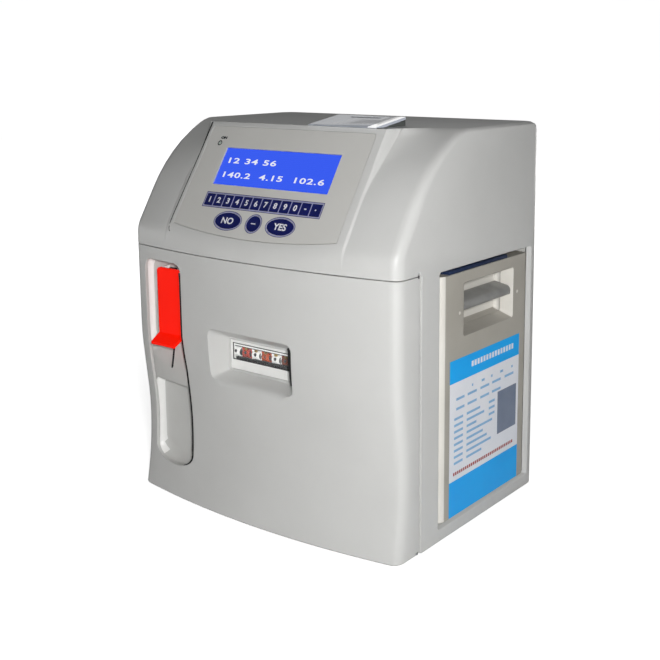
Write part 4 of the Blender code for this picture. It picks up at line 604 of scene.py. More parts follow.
def finishedCopy(name, finish, edge, steps):
    source = nodes[name]
    piece = bpy.data.objects.new(name + "_finished", source.data.copy())
    bpy.context.scene.collection.objects.link(piece)
    pick(piece)
    bpy.ops.object.mode_set(mode="EDIT")
    bpy.ops.mesh.select_mode(type="VERT")
    bpy.ops.mesh.select_all(action="SELECT")
    bpy.ops.mesh.remove_doubles(threshold=copyCare["weld"] * mm)
    keep = shapePodStep(piece) if name == "main_casing" else ()
    bpy.ops.object.mode_set(mode="EDIT")
    bpy.ops.mesh.select_all(action="SELECT")
    bpy.ops.mesh.dissolve_limited(angle_limit=math.radians(copyCare["flat"]))
    bpy.ops.object.mode_set(mode="OBJECT")
    if name in mouthEdges:
        low, high, width, softSteps = mouthEdges[name]
        pick(piece)
        selectEdges(piece, lambda a, b, turn: turn > copyCare["mouthEdge"] and all(
            l * mm <= v <= h * mm for p in (a, b) for l, v, h in zip(low, p, high)))
        bpy.ops.mesh.bevel(offset=width * mm, segments=softSteps, affect="EDGES", clamp_overlap=False)
        bpy.ops.object.mode_set(mode="OBJECT")
    if edge:
        applyModifier(piece, "BEVEL", width=edge * mm, segments=steps, limit_method="ANGLE",
                      angle_limit=math.radians(copyCare["edge"]), use_clamp_overlap=True)
    place(piece, finishes[finish], source["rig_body"], slotOfNode[name], instead=[name])
    if name in evenSkins:
        evenShading(piece, *evenSkins[name], keep)
    else:
        applyModifier(piece, "WEIGHTED_NORMAL", keep_sharp=True, weight=copyCare["lead"])
    deselect()
    return piece


shown = {}
for name, (finish, edge, steps) in nodeLooks.items():
    shown[name] = finishedCopy(name, finish, edge, steps)
shownLens = nodes["window_lens"]
shownLens.data.materials.clear()
shownLens.data.materials.append(finishes["castAcrylic"])
print("finished copies made,", len(shown))


# where the console's film lies: a point on it, how far it leans back in degrees, how thick its print is and
# how much of a letter's size its capitals fill
console = {"origin": (0.0, -117.1, 247.6), "lean": 33.1, "inkThickness": 0.03, "capShare": 0.72}
lean = math.radians(console["lean"])
leanSin, leanCos = math.sin(lean), math.cos(lean)
panelPlace = Matrix.Translation([v * mm for v in console["origin"]]) @ Matrix((
    (1, 0, 0, 0), (0, leanSin, -leanCos, 0), (0, leanCos, leanSin, 0), (0, 0, 0, 1)))
panelTurn = panelPlace.inverted()
panelFacing = (panelPlace.to_3x3() @ Vector((0, 0, 1))).normalized()


def panelBox(name):
    # lowest and highest u, v, w of a node on the console, in millimetres
    points = [panelTurn @ vertex.co / mm for vertex in nodes[name].data.vertices]
    return [(min(p[i] for p in points), max(p[i] for p in points)) for i in range(3)]


def paintFaces(piece, finish, wanted):
    # gives the faces whose middle (millimetres) and normal are wanted a second finish
    piece.data.materials.append(finish)
    for face in piece.data.polygons:
        if wanted(face.center / mm, face.normal):
            face.material_index = len(piece.data.materials) - 1


# only the glass of the display module is lit, which lies at most this deep under the film
glassDepth = 2.6
paintFaces(shown["lcd_module"], finishes["litDisplay"],
           lambda c, n: (panelTurn @ (c * mm)).z > -glassDepth * mm and n.dot(panelFacing) > 0.9)


def lettering(name, words, size, at, finish, body, slot, bold=0.0, width=1.0, spacing=1.0, fit=None):
    # raised ink on the console, centred on at (u, v, w) in millimetres, capitals size high; fit is its
    # whole length where that is known
    deselect()
    bpy.ops.object.text_add()
    text = bpy.context.object
    text.name = name
    text.data.body = words
    text.data.size = size / console["capShare"] * mm
    text.data.align_x = "CENTER"
    text.data.align_y = "CENTER"
    text.data.space_character = spacing
    text.data.offset = bold * mm
    text.data.extrude = console["inkThickness"] / 2 * mm
    text.data.resolution_u = 4
    bpy.ops.object.convert(target="MESH")
    piece = bpy.context.object
    xs = [v.co.x for v in piece.data.vertices]
    ys = [v.co.y for v in piece.data.vertices]
    if fit:
        width = fit * mm / (max(xs) - min(xs))
    piece.data.transform(Matrix.Scale(width, 4, (1, 0, 0)))
    centre = Vector(((min(xs) + max(xs)) / 2 * width, (min(ys) + max(ys)) / 2, 0))
    piece.data.transform(Matrix.Translation(-centre))
    u, v, w = at
    middle = Vector((u, v, w + console["inkThickness"] / 2)) * mm
    piece.data.transform(panelPlace @ Matrix.Translation(middle))
    return place(piece, finish, body, slot, smooth=0)


# the electrodes' faces stand back so that the barrels before them show their round
electrodeFace = {"y": -91.0, "back": 1.8}
for name in ["electrode_%d" % (i + 1) for i in range(5)]:
    for vert in shown[name].data.vertices:
        if vert.co.y < electrodeFace["y"] * mm:
            vert.co.y += electrodeFace["back"] * mm

# glossy barrels of the sample path with a dark ring at both ends; each carries its sensor's plug, and all
# but the first a sprung contact over it
flow = {"x": -34.8, "y": -88.9, "z": 149.4, "pitch": 11.6, "radius": 4.1, "length": 8.4, "round": 0.7,
        "tones": ("whiteElectrode", "redElectrode", "whiteElectrode", "orangeElectrode", "whiteElectrode",
                  "brownElectrode")}
flowRing = {"share": 0.86, "depth": 0.9, "out": 0.35, "round": 0.25}
flowPlug = {"sunk": 0.45, "up": 0.8, "radius": 1.6, "depth": 1.0, "round": 0.4}
flowContact = {"low": (-1.4, -3.6, 3.0), "high": (1.4, -0.4, 5.6), "round": 0.5}
flowAt = (flow["x"], flow["y"], flow["z"])
barrel = roundOff(discAt("flow_barrel", flowAt, flow["radius"], flow["length"], "X", 28), flow["round"], 3)
ringPair = []
for side in (-1, 1):
    ringX = flow["x"] + side * (flow["length"] / 2 + flowRing["out"])
    ring = discAt("flow_ring", (ringX, flow["y"], flow["z"]), flow["radius"] * flowRing["share"],
                  flowRing["depth"], "X", 28)
    ringPair.append(roundOff(ring, flowRing["round"], 2))
rings = joined("flow_rings", ringPair)
plugAt = (flow["x"], flow["y"] - flow["radius"] + flowPlug["sunk"], flow["z"] + flowPlug["up"])
plug = discAt("flow_plug", plugAt, flowPlug["radius"], flowPlug["depth"], "Y", 20)
roundOff(plug, flowPlug["round"], 2)
contact = boxAt("flow_contact", [a + b for a, b in zip(flowAt, flowContact["low"])],
                [a + b for a, b in zip(flowAt, flowContact["high"])])
roundOff(contact, flowContact["round"], 2)
holderSlot = slotOfNode["electrode_holder"]
for i, tone in enumerate(flow["tones"]):
    plugTone = "brownElectrode" if tone == "orangeElectrode" else "chipEpoxy"
    parts = [(barrel, "flow_barrel_%d", tone), (rings, "flow_barrel_%d_rings", "chipEpoxy"),
             (plug, "flow_plug_%d", plugTone), (contact, "flow_contact_%d", "brassContact")]
    for pattern, name, finish in parts if i else parts[:-1]:
        twin = copied(pattern, name % (i + 1), (i * flow["pitch"], 0, 0))
        place(twin, finishes[finish], "cabinet", holderSlot)
for pattern in (barrel, rings, plug, contact):
    bpy.data.objects.remove(pattern)

# black shelf that the electrodes stand on, deeper toward the right
shelf = {"low": (-34.5, -93.0, 142.6), "high": (40.0, -90.4, 146.8), "drop": 1.4, "round": 0.4}
shelfBoard = boxAt("electrode_shelf", shelf["low"], shelf["high"])
for vert in shelfBoard.data.vertices:
    if vert.co.x < 0 and vert.co.z > (shelf["low"][2] + shelf["high"][2]) / 2 * mm:
        vert.co.z -= shelf["drop"] * mm
place(roundOff(shelfBoard, shelf["round"], 2), finishes["blackRubberAndShadow"], "cabinet", holderSlot)
# white rail over the contacts, glowing with the same painted light as the white electrodes, with a dark joint
# under it
rail = {"low": (-36.5, -93.0, 155.4), "high": (41.0, -90.4, 160.2), "round": 0.5}
railJoint = {"low": (-36.0, -92.6, 154.7), "high": (40.5, -90.6, 155.4), "round": 0.15}
place(roundOff(boxAt("electrode_rail", rail["low"], rail["high"]), rail["round"], 2),
      finishes["whiteElectrode"], "cabinet", holderSlot)
place(roundOff(boxAt("electrode_rail_joint", railJoint["low"], railJoint["high"]), railJoint["round"], 1),
      finishes["chipEpoxy"], "cabinet", holderSlot)


def frontRing(name, inner, outer, low, high):
    # a flat rectangular gasket from y low to high; inner and outer are (low x, high x, low z, high z)
    corners = [[(box[0], box[2]), (box[1], box[2]), (box[1], box[3]), (box[0], box[3])]
               for box in (inner, outer)]
    work = bmesh.new()
    rows = [[work.verts.new(Vector((x, y, z)) * mm) for x, z in outline]
            for y in (low, high) for outline in corners]
    for i in range(4):
        j = (i + 1) % 4
        for first, second in ((0, 1), (1, 3), (3, 2), (2, 0)):
            work.faces.new((rows[first][i], rows[first][j], rows[second][j], rows[second][i]))
    return place(meshPiece(name, work), finishes["blackRubberAndShadow"], "door", slotOfNode["window_frame"], smooth=0)


# dark gaskets round the lens and round its frame: inner edge, outer edge, front and back
gaskets = {"lens_gasket": ((-35.3, 38.8, 144.0, 157.8), (-36.1, 39.6, 143.2, 158.6), -95.05, -94.5),
           "frame_gasket": ((-39.2, 42.7, 133.8, 161.7), (-39.9, 43.4, 133.1, 162.4), -94.6, -93.6)}
for name, (inner, outer, low, high) in gaskets.items():
    frontRing(name, inner, outer, low, high)

wideKeys = ("key_no", "key_dash", "key_yes")
legends = {"key_minus": "-", "key_point": "·", "key_no": "NO", "key_dash": "–", "key_yes": "YES"}
keyLegend = {"digit": 5.2, "word": 5.9, "bold": 0.24, "width": 1.08, "sunk": 0.01}
for name in keyNodes:
    (lowU, highU), (lowV, highV), (_, top) = panelBox(name)
    size = keyLegend["word"] if name in wideKeys else keyLegend["digit"]
    lettering(name + "_legend", legends.get(name, name[-1]), size,
              ((lowU + highU) / 2, (lowV + highV) / 2, top - keyLegend["sunk"]),
              finishes["whiteInk"], name, "key_navy", bold=keyLegend["bold"], width=keyLegend["width"])

# rows of the display: words, left end, right end, height on the console
display = {"rows": [("12 34 56", -58.0, -2.0, 82.6), ("140.2  4.15  102.6", -58.0, 57.0, 68.6)],
           "height": 5.2, "bold": 0.14, "spacing": 1.12, "glassTop": -1.2}
for i, (words, lowU, highU, v) in enumerate(display["rows"]):
    lettering("display_row_%d" % (i + 1), words, display["height"],
              ((lowU + highU) / 2, v, display["glassTop"]), finishes["litDigits"], "cabinet", "display_blue",
              bold=display["bold"], spacing=display["spacing"], fit=highU - lowU)


def ringOutline(name, inner, outer, finish, thickness=console["inkThickness"]):
    # a flat ring on the console between two outlines with as many points each
    work = bmesh.new()
    rows = [[work.verts.new(panelPlace @ (Vector((u, v, level)) * mm)) for u, v in outline]
            for level in (0.0, thickness) for outline in (inner, outer)]
    for i in range(len(inner)):
        j = (i + 1) % len(inner)
        for first, second in ((2, 3), (1, 0), (3, 1), (0, 2)):
            work.faces.new((rows[first][i], rows[first][j], rows[second][j], rows[second][i]))
    return place(meshPiece(name, work), finishes[finish], "cabinet", "overlay_film", smooth=0)


def rectangleOutline(lowU, highU, lowV, highV):
    return [(lowU, lowV), (highU, lowV), (highU, highV), (lowU, highV)]


def ovalOutline(u, v, a, b, steps=48):
    turns = [2 * math.pi * i / steps for i in range(steps)]
    return [(u + a * math.cos(turn), v + b * math.sin(turn)) for turn in turns]


# a pale frame round the twelve keys and round each wide key, with a thin navy line outside it
keyFrame = {"gap": 0.35, "pale": 0.9, "navy": 0.55, "rib": 0.85, "ribHeight": 0.42, "ribSeam": 0.02}
rowBoxes = [panelBox(name) for name in keyNodes if name not in wideKeys]
rowLow = [min(box[i][0] for box in rowBoxes) for i in range(2)]
rowHigh = [max(box[i][1] for box in rowBoxes) for i in range(2)]
paleFrom = keyFrame["gap"]
navyFrom = paleFrom + keyFrame["pale"]
navyTo = navyFrom + keyFrame["navy"]


def rowOutline(out):
    return rectangleOutline(rowLow[0] - out, rowHigh[0] + out, rowLow[1] - out, rowHigh[1] + out)


def keyOutline(name, out):
    (lowU, highU), (lowV, highV), _ = panelBox(name)
    return ovalOutline((lowU + highU) / 2, (lowV + highV) / 2,
                       (highU - lowU) / 2 + out, (highV - lowV) / 2 + out)


ringOutline("key_row_frame_pale", rowOutline(paleFrom), rowOutline(navyFrom), "lavenderInk")
ringOutline("key_row_frame_navy", rowOutline(navyFrom), rowOutline(navyTo), "navyKey")
for name in wideKeys:
    ringOutline(name + "_ring_pale", keyOutline(name, paleFrom), keyOutline(name, navyFrom), "lavenderInk")
    ringOutline(name + "_ring_navy", keyOutline(name, navyFrom), keyOutline(name, navyTo), "navyKey")
# pale lines between the keys, printed on the film's raised ribs
ribs = []
half = keyFrame["rib"] / 2
lowV, highV = rowLow[1] - paleFrom, rowHigh[1] + paleFrom
columns = sorted(box[0] for box in rowBoxes)
for left, right in zip(columns, columns[1:]):
    middle = (left[1] + right[0]) / 2
    outlines = [rectangleOutline(middle - half, middle + half, lowV, highV)]
    for inset in (half / 2, keyFrame["ribSeam"] / 2):
        outlines.append(rectangleOutline(middle - inset, middle + inset, lowV + half, highV - half))
    for outer, inner in zip(outlines, outlines[1:]):
        ribs.append(ringOutline("key_rib", inner, outer, "lavenderInk", keyFrame["ribHeight"]))
place(joined("key_ribs", ribs), None, "cabinet", "overlay_film", smooth=0)

# dark ring round the power light and its legend
led = {"inner": 1.75, "outer": 2.55, "word": "ON", "height": 2.3, "right": 2.6, "up": 5.4, "bold": 0.24,
       "length": 7.5}
(lowU, highU), (lowV, highV), _ = panelBox("power_led")
ledU, ledV = (lowU + highU) / 2, (lowV + highV) / 2
ringOutline("led_ring", ovalOutline(ledU, ledV, led["inner"], led["inner"]),
            ovalOutline(ledU, ledV, led["outer"], led["outer"]), "grayInk")
lettering("led_legend", led["word"], led["height"], (ledU + led["right"], ledV + led["up"], 0.0),
          finishes["grayInk"], "cabinet", "overlay_film", bold=led["bold"], fit=led["length"])
print("console lettered")


# pan heads with a cross recess along both sides of the rear panel
panelScrew = {"x": (-124.0, 30.0), "z": (29.0, 119.0, 209.0), "radius": 2.9, "height": 1.6, "round": 0.7,
              "recess": (0.35, 1.6), "recessFloor": 0.9, "overrun": 0.5}
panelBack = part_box("rear_panel")[1].y / mm
firstX, firstZ = panelScrew["x"][0], panelScrew["z"][0]
headMiddle = panelBack + panelScrew["height"] / 2
screw = discAt("panel_screw", (firstX, headMiddle, firstZ), panelScrew["radius"], panelScrew["height"],
               "Y", 24)
roundOff(screw, panelScrew["round"], 3, lambda a, b: (a.y + b.y) / 2 > headMiddle * mm)
recessLow = panelBack + panelScrew["recessFloor"]
recessHigh = panelBack + panelScrew["height"] + panelScrew["overrun"]
for halfX, halfZ in (panelScrew["recess"], panelScrew["recess"][::-1]):
    bored(screw, boxAt("recess", (firstX - halfX, recessLow, firstZ - halfZ),
                       (firstX + halfX, recessHigh, firstZ + halfZ)))
for i, (x, z) in enumerate((x, z) for x in panelScrew["x"] for z in panelScrew["z"]):
    place(copied(screw, "panel_screw_%d" % (i + 1), (x - firstX, 0, z - firstZ)), finishes["groundSteel"],
          "cabinet", slotOfNode["rear_panel"])
bpy.data.objects.remove(screw)


def shadowBead(name, path, widths, height, sunk, body):
    # a black strip that paints shadow, with a half round section along path, whose points are (place, outward
    # normal) in metres; widths, height and how far it is sunk in millimetres
    work = bmesh.new()
    rings = []
    steps = 6
    for i, ((spot, normal), width) in enumerate(zip(path, widths)):
        before, after = path[max(i - 1, 0)][0], path[min(i + 1, len(path) - 1)][0]
        side = (after - before).cross(normal).normalized()
        half = width / 2 * mm
        turns = [math.pi * k / steps for k in range(steps + 1)]
        corners = [spot + side * (math.cos(t) * half) + normal * (math.sin(t) * height * mm) for t in turns]
        corners += [spot + side * (s * half) - normal * (sunk * mm) for s in (-1, 1)]
        rings.append([work.verts.new(corner) for corner in corners])
    for low, high in zip(rings, rings[1:]):
        for i in range(len(low)):
            j = (i + 1) % len(low)
            work.faces.new((low[i], low[j], high[j], high[i]))
    work.faces.new(rings[0])
    work.faces.new(rings[-1])
    return place(meshPiece(name, work), finishes["blackRubberAndShadow"], body, "foot_rubber")


beforeFront = -300.0  # in front of the whole cabinet


def onSkin(piece, x, z):
    # where the skin is, straight back from the front at x and z in millimetres, and its normal
    hit, spot, normal, _ = piece.ray_cast(Vector((x, beforeFront, z)) * mm, Vector((0, 1, 0)))
    return (spot, normal) if hit else None


# painted shadow along the console's left edge: a black strip where the step's shadow falls, (u, v, width)
# from its top to its curled lower end
podShadow = {"height": 0.12, "sunk": 0.3, "points": [
    (-97.0, 119.3, 2.565), (-96.9, 108.0, 2.43), (-96.7, 95.0, 1.89), (-96.7, 80.0, 1.485),
    (-96.8, 60.0, 1.2825), (-97.0, 42.0, 1.215), (-97.3, 28.0, 1.215), (-97.3, 18.0, 1.1475),
    (-96.8, 12.0, 1.08), (-95.8, 9.0, 0.945), (-94.6, 8.0, 0.81)]}
bpy.context.view_layer.update()
podShadowPath = [onSkin(shown["main_casing"], u, console["origin"][2] + v * leanCos)
            for u, v, _ in podShadow["points"]]
podShadowWidths = [width for _, _, width in podShadow["points"]]
shadowBead("pod_shadow_left", podShadowPath, podShadowWidths, podShadow["height"], podShadow["sunk"], "cabinet")


def mouthEdge(x, z, rimSearch, degrees=0.0):
    # where the rim of an opening in the door is, seen from x and z inside it at an angle from +X; the skin
    # of the door is nearer than the front given in the search settings, and what shows through the opening is
    # farther
    across, upward = math.cos(math.radians(degrees)), math.sin(math.radians(degrees))
    near, far = 0.0, rimSearch["reach"]
    for _ in range(18):
        t = (near + far) / 2
        skin = onSkin(shown["front_door"], x + t * across, z + t * upward)
        if skin and skin[0].y < rimSearch["front"] * mm:
            far = t
        else:
            near = t
    return x + far * across, z + far * upward


# painted shadow: black strips on the right rims of the sample channel and of the window's recess, where the
# door's
# edge casts its shadow: where the rim is looked for, the strip's widths and how it sits on the rim
channelShadow = {"x": -104.0, "z": (218, *range(210, 50, -10), 52), "bendAt": (-100.0, 52.0),
              "bend": (-12, -24, -36, -48, -60), "reach": 40.0, "front": -106.0, "width": 3.1,
              "tipShare": 0.3, "growShare": 0.15}
windowShadow = {"x": 20.0, "z": (171, 168, 164, 160, 155, 150, 145, 140, 136, 132, 129.5, 127.5), "reach": 45.0,
             "front": -114.0, "widths": (3.2, 4.2, 4.8, 4.6, 3.8, 3.0, 2.7, 2.6, 2.4, 2.1, 1.6, 1.0)}
shadowSeat = {"inset": 0.9, "depth": 0.5, "height": 0.3, "sunk": 0.6, "beside": 0.6}


# lays a black strip of painted shadow along a rim of the door
def rimShadow(name, rim, widths):
    path = []
    for x, z in rim:
        skinY = onSkin(shown["front_door"], x + shadowSeat["beside"], z)[0].y
        spot = Vector(((x - shadowSeat["inset"]) * mm, skinY + shadowSeat["depth"] * mm, z * mm))
        path.append((spot, Vector((0, -1, 0))))
    shadowBead(name, path, widths, shadowSeat["height"], shadowSeat["sunk"], "door")


channelRim = [mouthEdge(channelShadow["x"], z, channelShadow) for z in channelShadow["z"]]
channelRim += [mouthEdge(*channelShadow["bendAt"], channelShadow, turn) for turn in channelShadow["bend"]]
channelWidths = [channelShadow["width"] * min(1.0, channelShadow["tipShare"] + channelShadow["growShare"] * left)
                 for left in reversed(range(len(channelRim)))]
rimShadow("channel_shadow", channelRim, channelWidths)
rimShadow("window_shadow", [mouthEdge(windowShadow["x"], z, windowShadow) for z in windowShadow["z"]], windowShadow["widths"])

# faces painted in a paler tone as painted highlight: the front edge of the pack's cover and the walls of its
# grip
packGrip = {"y": (-12, 74), "z": (174, 222), "backX": 140, "edgeY": -38, "edgeX": 135}


def inGrip(c, n):
    inside = packGrip["y"][0] < c.y < packGrip["y"][1] and packGrip["z"][0] < c.z < packGrip["z"][1]
    return inside and (n.y < -0.5 or (n.x > 0.5 and c.x < packGrip["backX"]))


def onRim(c, n):
    return c.y < packGrip["edgeY"] and c.x > packGrip["edgeX"] and n.x < 0.97


paintFaces(shown["pack_case"], finishes["packPaintedLight"], inGrip)
paintFaces(shown["pack_cover"], finishes["packPaintedLight"], lambda c, n: onRim(c, n) or inGrip(c, n))
# painted light: the left walls of the sample well get the window frame's brighter finish, so they read as lit
# as the frame does
wellLitWallX = -100
paintFaces(shown["sample_well"], finishes["mouldedFrameAndWellLight"], lambda c, n: n.x > 0.35 and c.x < wellLitWallX)
# deep blue card over the top edge of the pack
card = {"low": (136.0, -32.0, 230.2), "high": (149.4, 63.0, 233.4), "round": 0.5}
place(roundOff(boxAt("pack_top_card", card["low"], card["high"]), card["round"], 2), finishes["navyCard"],
      "pack", "pack_beige")
# ends of the handle's pin, (y, z), each in a hole of the cover, in the pack's paler tone of painted light
pinEnd = {"at": ((-16.9, 196.0), (80.1, 197.0)), "hole": 1.7, "holeDepth": 0.8, "radius": 1.45, "depth": 0.7,
          "back": 0.45, "round": 0.3}
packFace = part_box("pack_cover")[1].x / mm
for i, (y, z) in enumerate(pinEnd["at"]):
    hole = discAt("pin_hole", (packFace, y, z), pinEnd["hole"], pinEnd["holeDepth"], "X", 20)
    bored(shown["pack_cover"], hole)
    cap = discAt("handle_pin_end_%d" % (i + 1), (packFace - pinEnd["back"], y, z), pinEnd["radius"],
                 pinEnd["depth"], "X", 20)
    place(roundOff(cap, pinEnd["round"], 2), finishes["packPaintedLight"], "pack", "pack_beige")
# painted highlight: the lid's top faces right of this split get the glowing white finish, standing for the
# lamp's reflection along its right side
lidHighlightFrom = 82.0
pick(shown["printer_lid"])
bpy.ops.object.mode_set(mode="EDIT")
bpy.ops.mesh.select_all(action="SELECT")
bpy.ops.mesh.bisect(plane_co=(lidHighlightFrom * mm, 0, 0), plane_no=(1, 0, 0))
bpy.ops.object.mode_set(mode="OBJECT")
paintFaces(shown["printer_lid"], finishes["lidHighlightPaint"], lambda c, n: c.x > lidHighlightFrom and n.z > 0.1)
# dark serrated cutter in the lid's paper slot
cutter = {"low": (39.5, -19.75, 353.4), "high": (70.5, -17.85, 355.0), "teeth": 31, "toothDepth": 0.5}
blade = boxAt("paper_cutter", cutter["low"], cutter["high"])
pick(blade)
selectEdges(blade, lambda a, b, turn: abs(a.x - b.x) > (cutter["high"][0] - cutter["low"][0]) / 2 * mm)
bpy.ops.mesh.subdivide(number_cuts=cutter["teeth"])
work = bmesh.from_edit_mesh(blade.data)
toothPitch = (cutter["high"][0] - cutter["low"][0]) / (cutter["teeth"] + 1)
bladeMiddle = [(a + b) / 2 * mm for a, b in zip(cutter["low"], cutter["high"])]
for vert in work.verts:
    tooth = round((vert.co.x / mm - cutter["low"][0]) / toothPitch)
    if tooth % 2 and vert.co.y > bladeMiddle[1] and vert.co.z > bladeMiddle[2]:
        vert.co.y -= cutter["toothDepth"] * mm
bmesh.update_edit_mesh(blade.data)
bpy.ops.object.mode_set(mode="OBJECT")
place(blade, finishes["blackNylon"], "lid", slotOfNode["printer_lid"], smooth=0)
# black nylon knuckle round the door's upper hinge pin, at the corner of the door's gap
knuckle = {"at": (146.9, -77.2, 236.1), "radius": 3.2, "depth": 2.4, "round": 0.5,
           "pinAt": (146.5, -76.7, 236.1), "bore": 1.8, "boreLength": 4.0}
collar = discAt("hinge_knuckle", knuckle["at"], knuckle["radius"], knuckle["depth"], "Z", 32)
roundOff(collar, knuckle["round"], 2)
bored(collar, discAt("pin_bore", knuckle["pinAt"], knuckle["bore"], knuckle["boreLength"], "Z", 24))
place(collar, finishes["blackNylon"], "door", slotOfNode["hinge_pin"])

# the label lies in a shallow tray of the pack's cover, so that nothing stands proud of the face: its
# outline and bands, then depths from the face in x
label = {"lowY": -31.5, "highY": 85.5, "lowZ": 18.9, "highZ": 157.0, "topBand": 137.0, "bottomBand": 50.5,
         "slate": (48.0, 81.5, 71.0, 110.7), "tray": 0.3, "trayOverrun": 1.0, "sheetTop": 0.1, "sheet": 0.19,
         "inkTop": 0.04, "ink": 0.055, "sheetRound": 0.02, "inkRound": 0.015}
bored(shown["pack_cover"], boxAt("label_tray", (packFace - label["tray"], label["lowY"], label["lowZ"]),
                                 (packFace + label["trayOverrun"], label["highY"], label["highZ"])))
sheetTop = packFace - label["sheetTop"]
inkTop = packFace - label["inkTop"]


def flatPatch(name, lowY, highY, lowZ, highZ, x, thickness, finish):
    piece = roundOff(boxAt(name, (x - thickness, lowY, lowZ), (x, highY, highZ)), label["sheetRound"], 1)
    return place(piece, finishes[finish], "pack", slotOfNode["pack_cover"], smooth=0)


for patch, low, high, finish in (("bottom", label["lowZ"], label["bottomBand"], "labelBlue"),
                                 ("middle", label["bottomBand"], label["topBand"], "labelWhite"),
                                 ("top", label["topBand"], label["highZ"], "labelBlue")):
    flatPatch("label_" + patch, label["lowY"], label["highY"], low, high, sheetTop, label["sheet"], finish)
flatPatch("label_slate", *label["slate"], inkTop, label["ink"], "labelSlate")


def barRow(name, z, height, runs, finish):
    # plain bars in one row, as pairs of y
    bars = [boxAt("bar", (inkTop - label["ink"], low, z - height / 2), (inkTop, high, z + height / 2))
            for low, high in runs]
    return place(roundOff(joined(name, bars), label["inkRound"], 1), finishes[finish], "pack",
                 slotOfNode["pack_cover"], smooth=0)


def brokenRun(low, high, bar, gap):
    runs = []
    y = low
    while y + bar <= high:
        runs.append((y, y + bar))
        y += bar + gap
    return runs


# the label's rows of bars: height on the pack, height of the bars, their runs in y
heading = {"z": 147.5, "height": 5.0, "run": (3.0, 79.0, 3.2, 1.7)}
warning = {"z": 56.5, "height": 2.8, "run": (-25.0, 78.0, 2.2, 1.0)}
table = {"height": 2.2, "columnsZ": 128.5, "columns": [(4, 6), (20, 25), (36, 38.5), (52, 57), (72, 74.5)],
         "valuesZ": (122.0, 113.5), "values": [(-21, -8), (-3, 12), (18, 33), (38, 53), (60, 76)]}
lines = {"z": 105.0, "pitch": 5.6, "count": 8, "names": (-24, -10), "textFrom": -4, "textTo": 18,
         "textStep": 7, "textSpread": 23, "textMost": 42, "shortText": 12, "short": 2, "asides": (33, 43),
         "asideCount": 3}
barRow("label_heading", heading["z"], heading["height"], brokenRun(*heading["run"]), "labelWhite")
barRow("label_columns", table["columnsZ"], table["height"], table["columns"], "labelSky")
for i, z in enumerate(table["valuesZ"]):
    runs = table["values"][:len(table["values"]) - i]
    barRow("label_values_%d" % (i + 1), z, table["height"], runs, "labelSky")
for i in range(lines["count"]):
    reach = min(lines["textTo"] + lines["textStep"] * i % lines["textSpread"], lines["textMost"])
    if i == lines["short"]:
        reach = lines["shortText"]
    runs = [lines["names"], (lines["textFrom"], reach)]
    if i < lines["asideCount"]:
        runs.append(lines["asides"])
    barRow("label_line_%d" % (i + 1), lines["z"] - lines["pitch"] * i, table["height"], runs, "labelSky")
barRow("label_warning", warning["z"], warning["height"], brokenRun(*warning["run"]), "labelRed")
print("label laid")


# pale floor that grows whiter away from the object for the camera alone: sizes and distances in metres
floorLook = {"size": 8.0, "colour": "F2F2F1", "rough": 0.9,
             "glow": {"From Min": 0.3, "From Max": 1.1, "To Min": 0.78, "To Max": 1.15}}
deselect()
bpy.ops.mesh.primitive_plane_add(size=floorLook["size"], location=(0, 0, 0))
floor = bpy.context.object
floor.name = "studio_floor"
floorPaint = bpy.data.materials.new("paleFloor")
floorPaint.use_nodes = True
floorTree = floorPaint.node_tree
floorShader = floorTree.nodes["Principled BSDF"]
floorShader.inputs["Base Color"].default_value = linearColour(floorLook["colour"])
floorShader.inputs["Roughness"].default_value = floorLook["rough"]
floorShader.inputs["Specular IOR Level"].default_value = 0.0
floorShader.inputs["Emission Color"].default_value = linearColour("FFFFFF")
seen = addNode(floorTree, "ShaderNodeLightPath").outputs["Is Camera Ray"]
spot = addNode(floorTree, "ShaderNodeTexCoord").outputs["Object"]
away = addNode(floorTree, "ShaderNodeVectorMath", {"operation": "LENGTH"}, {0: spot}).outputs["Value"]
whiter = addNode(floorTree, "ShaderNodeMapRange", floorLook["glow"], {"Value": away}).outputs[0]
lift = addNode(floorTree, "ShaderNodeMath", {"operation": "MULTIPLY"}, {0: seen, 1: whiter}).outputs[0]
floorTree.links.new(lift, floorShader.inputs["Emission Strength"])
floor.data.materials.append(floorPaint)

# gray room, lighter at the horizon than overhead, that the camera sees as white
room = {"strength": 0.42, "seen": 2.4, "horizon": (0.5, 0.5, 0.5, 1), "low": (0.22, 0.22, 0.22, 1),
        "overhead": (0.06, 0.064, 0.064, 1), "lowAt": 0.25, "overheadAt": 0.75}
world = bpy.data.worlds.new("studioWorld")
bpy.context.scene.world = world
world.use_nodes = True
skyTree = world.node_tree
background = skyTree.nodes["Background"]
direction = addNode(skyTree, "ShaderNodeTexCoord").outputs["Generated"]
height = addNode(skyTree, "ShaderNodeSeparateXYZ", None, {0: direction}).outputs["Z"]
skySteps = [(0.0, room["horizon"]), (room["overheadAt"], room["overhead"]), (room["lowAt"], room["low"])]
sky = addNode(skyTree, "ShaderNodeValToRGB", None, {"Fac": height}, skySteps).outputs[0]
cameraRay = addNode(skyTree, "ShaderNodeLightPath").outputs["Is Camera Ray"]
shownSky = addNode(skyTree, "ShaderNodeMix", {"data_type": "RGBA"}, {0: cameraRay, 6: sky}).outputs[2]
shownSky.node.inputs[7].default_value = (room["seen"], room["seen"], room["seen"], 1)
skyTree.links.new(shownSky, background.inputs["Color"])
background.inputs["Strength"].default_value = room["strength"]

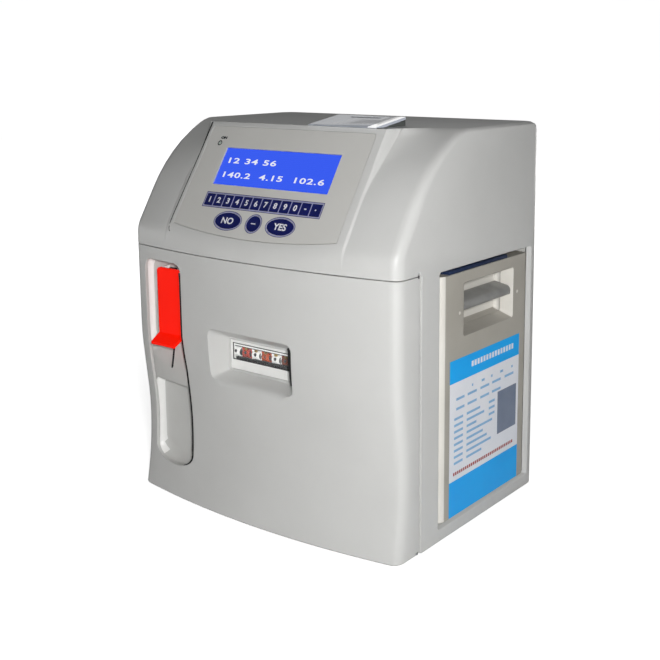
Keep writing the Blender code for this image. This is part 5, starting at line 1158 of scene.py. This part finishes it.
# lamps that face the middle of the object: azimuth (0 stands before the front, 90 before the right side),
# elevation, distance, width and height in metres, watts
lampAim = Vector((0, 0, 0.17))
lamps = {
    # the key stands just right of the camera, as a flash does: bright fronts, thin black gaps, a dim top
    "key_softbox": (41.5, 16.0, 1.04, 0.05, 0.07, 7.3),
    "right_fill": (88, 8, 2.0, 1.0, 1.0, 2.6),
    "back_card": (219.5, 22, 2.4, 2.4, 0.8, 2.7),
    # low strips that light the back and the left side and stay under the top's horizon
    "rear_strip": (195, 0, 2.0, 1.6, 0.24, 9.0),
    "left_strip": (285, 0, 2.0, 1.2, 0.24, 3.0),
}
for name, (azimuth, elevation, distance, width, height, power) in lamps.items():
    a, e = math.radians(azimuth), math.radians(elevation)
    toward = Vector((math.sin(a) * math.cos(e), -math.cos(a) * math.cos(e), math.sin(e)))
    deselect()
    bpy.ops.object.light_add(type="AREA", location=lampAim + toward * distance)
    lamp = bpy.context.object
    lamp.name = name
    lamp.data.shape = "RECTANGLE"
    lamp.data.size, lamp.data.size_y = width, height
    lamp.data.energy = power
    lamp.rotation_euler = toward.to_track_quat("Z", "Y").to_euler()

# the camera fitted to the photograph: place in millimetres, angles in degrees, the rest in its pixels
cameraFit = {"at": (605.2193, -745.7250, 406.8270), "yaw": -36.671162, "pitch": 10.001354, "roll": -0.188392,
             "focal": 1058.58149, "middle": (374.95563, 242.495732), "frame": 660, "sensor": 36}
yaw, pitch, roll = (math.radians(cameraFit[k]) for k in ("yaw", "pitch", "roll"))
ahead = Vector((math.sin(yaw) * math.cos(pitch), math.cos(yaw) * math.cos(pitch), -math.sin(pitch)))
right = Vector((math.cos(yaw), -math.sin(yaw), 0))
up = right.cross(ahead)
rightRolled = right * math.cos(roll) + up * math.sin(roll)
upRolled = -right * math.sin(roll) + up * math.cos(roll)
viewFrom = Matrix((rightRolled, upRolled, -ahead)).transposed().to_4x4()
viewFrom.translation = Vector(cameraFit["at"]) * mm
deselect()
bpy.ops.object.camera_add()
camera = bpy.context.object
camera.matrix_world = viewFrom
camera.data.sensor_width = cameraFit["sensor"]
camera.data.lens = cameraFit["focal"] / cameraFit["frame"] * cameraFit["sensor"]
camera.data.shift_x = (cameraFit["frame"] / 2 - cameraFit["middle"][0]) / cameraFit["frame"]
camera.data.shift_y = (cameraFit["middle"][1] - cameraFit["frame"] / 2) / cameraFit["frame"]
bpy.context.scene.camera = camera
bpy.context.scene.view_settings.view_transform = "Standard"
print("stage, lights and camera set")
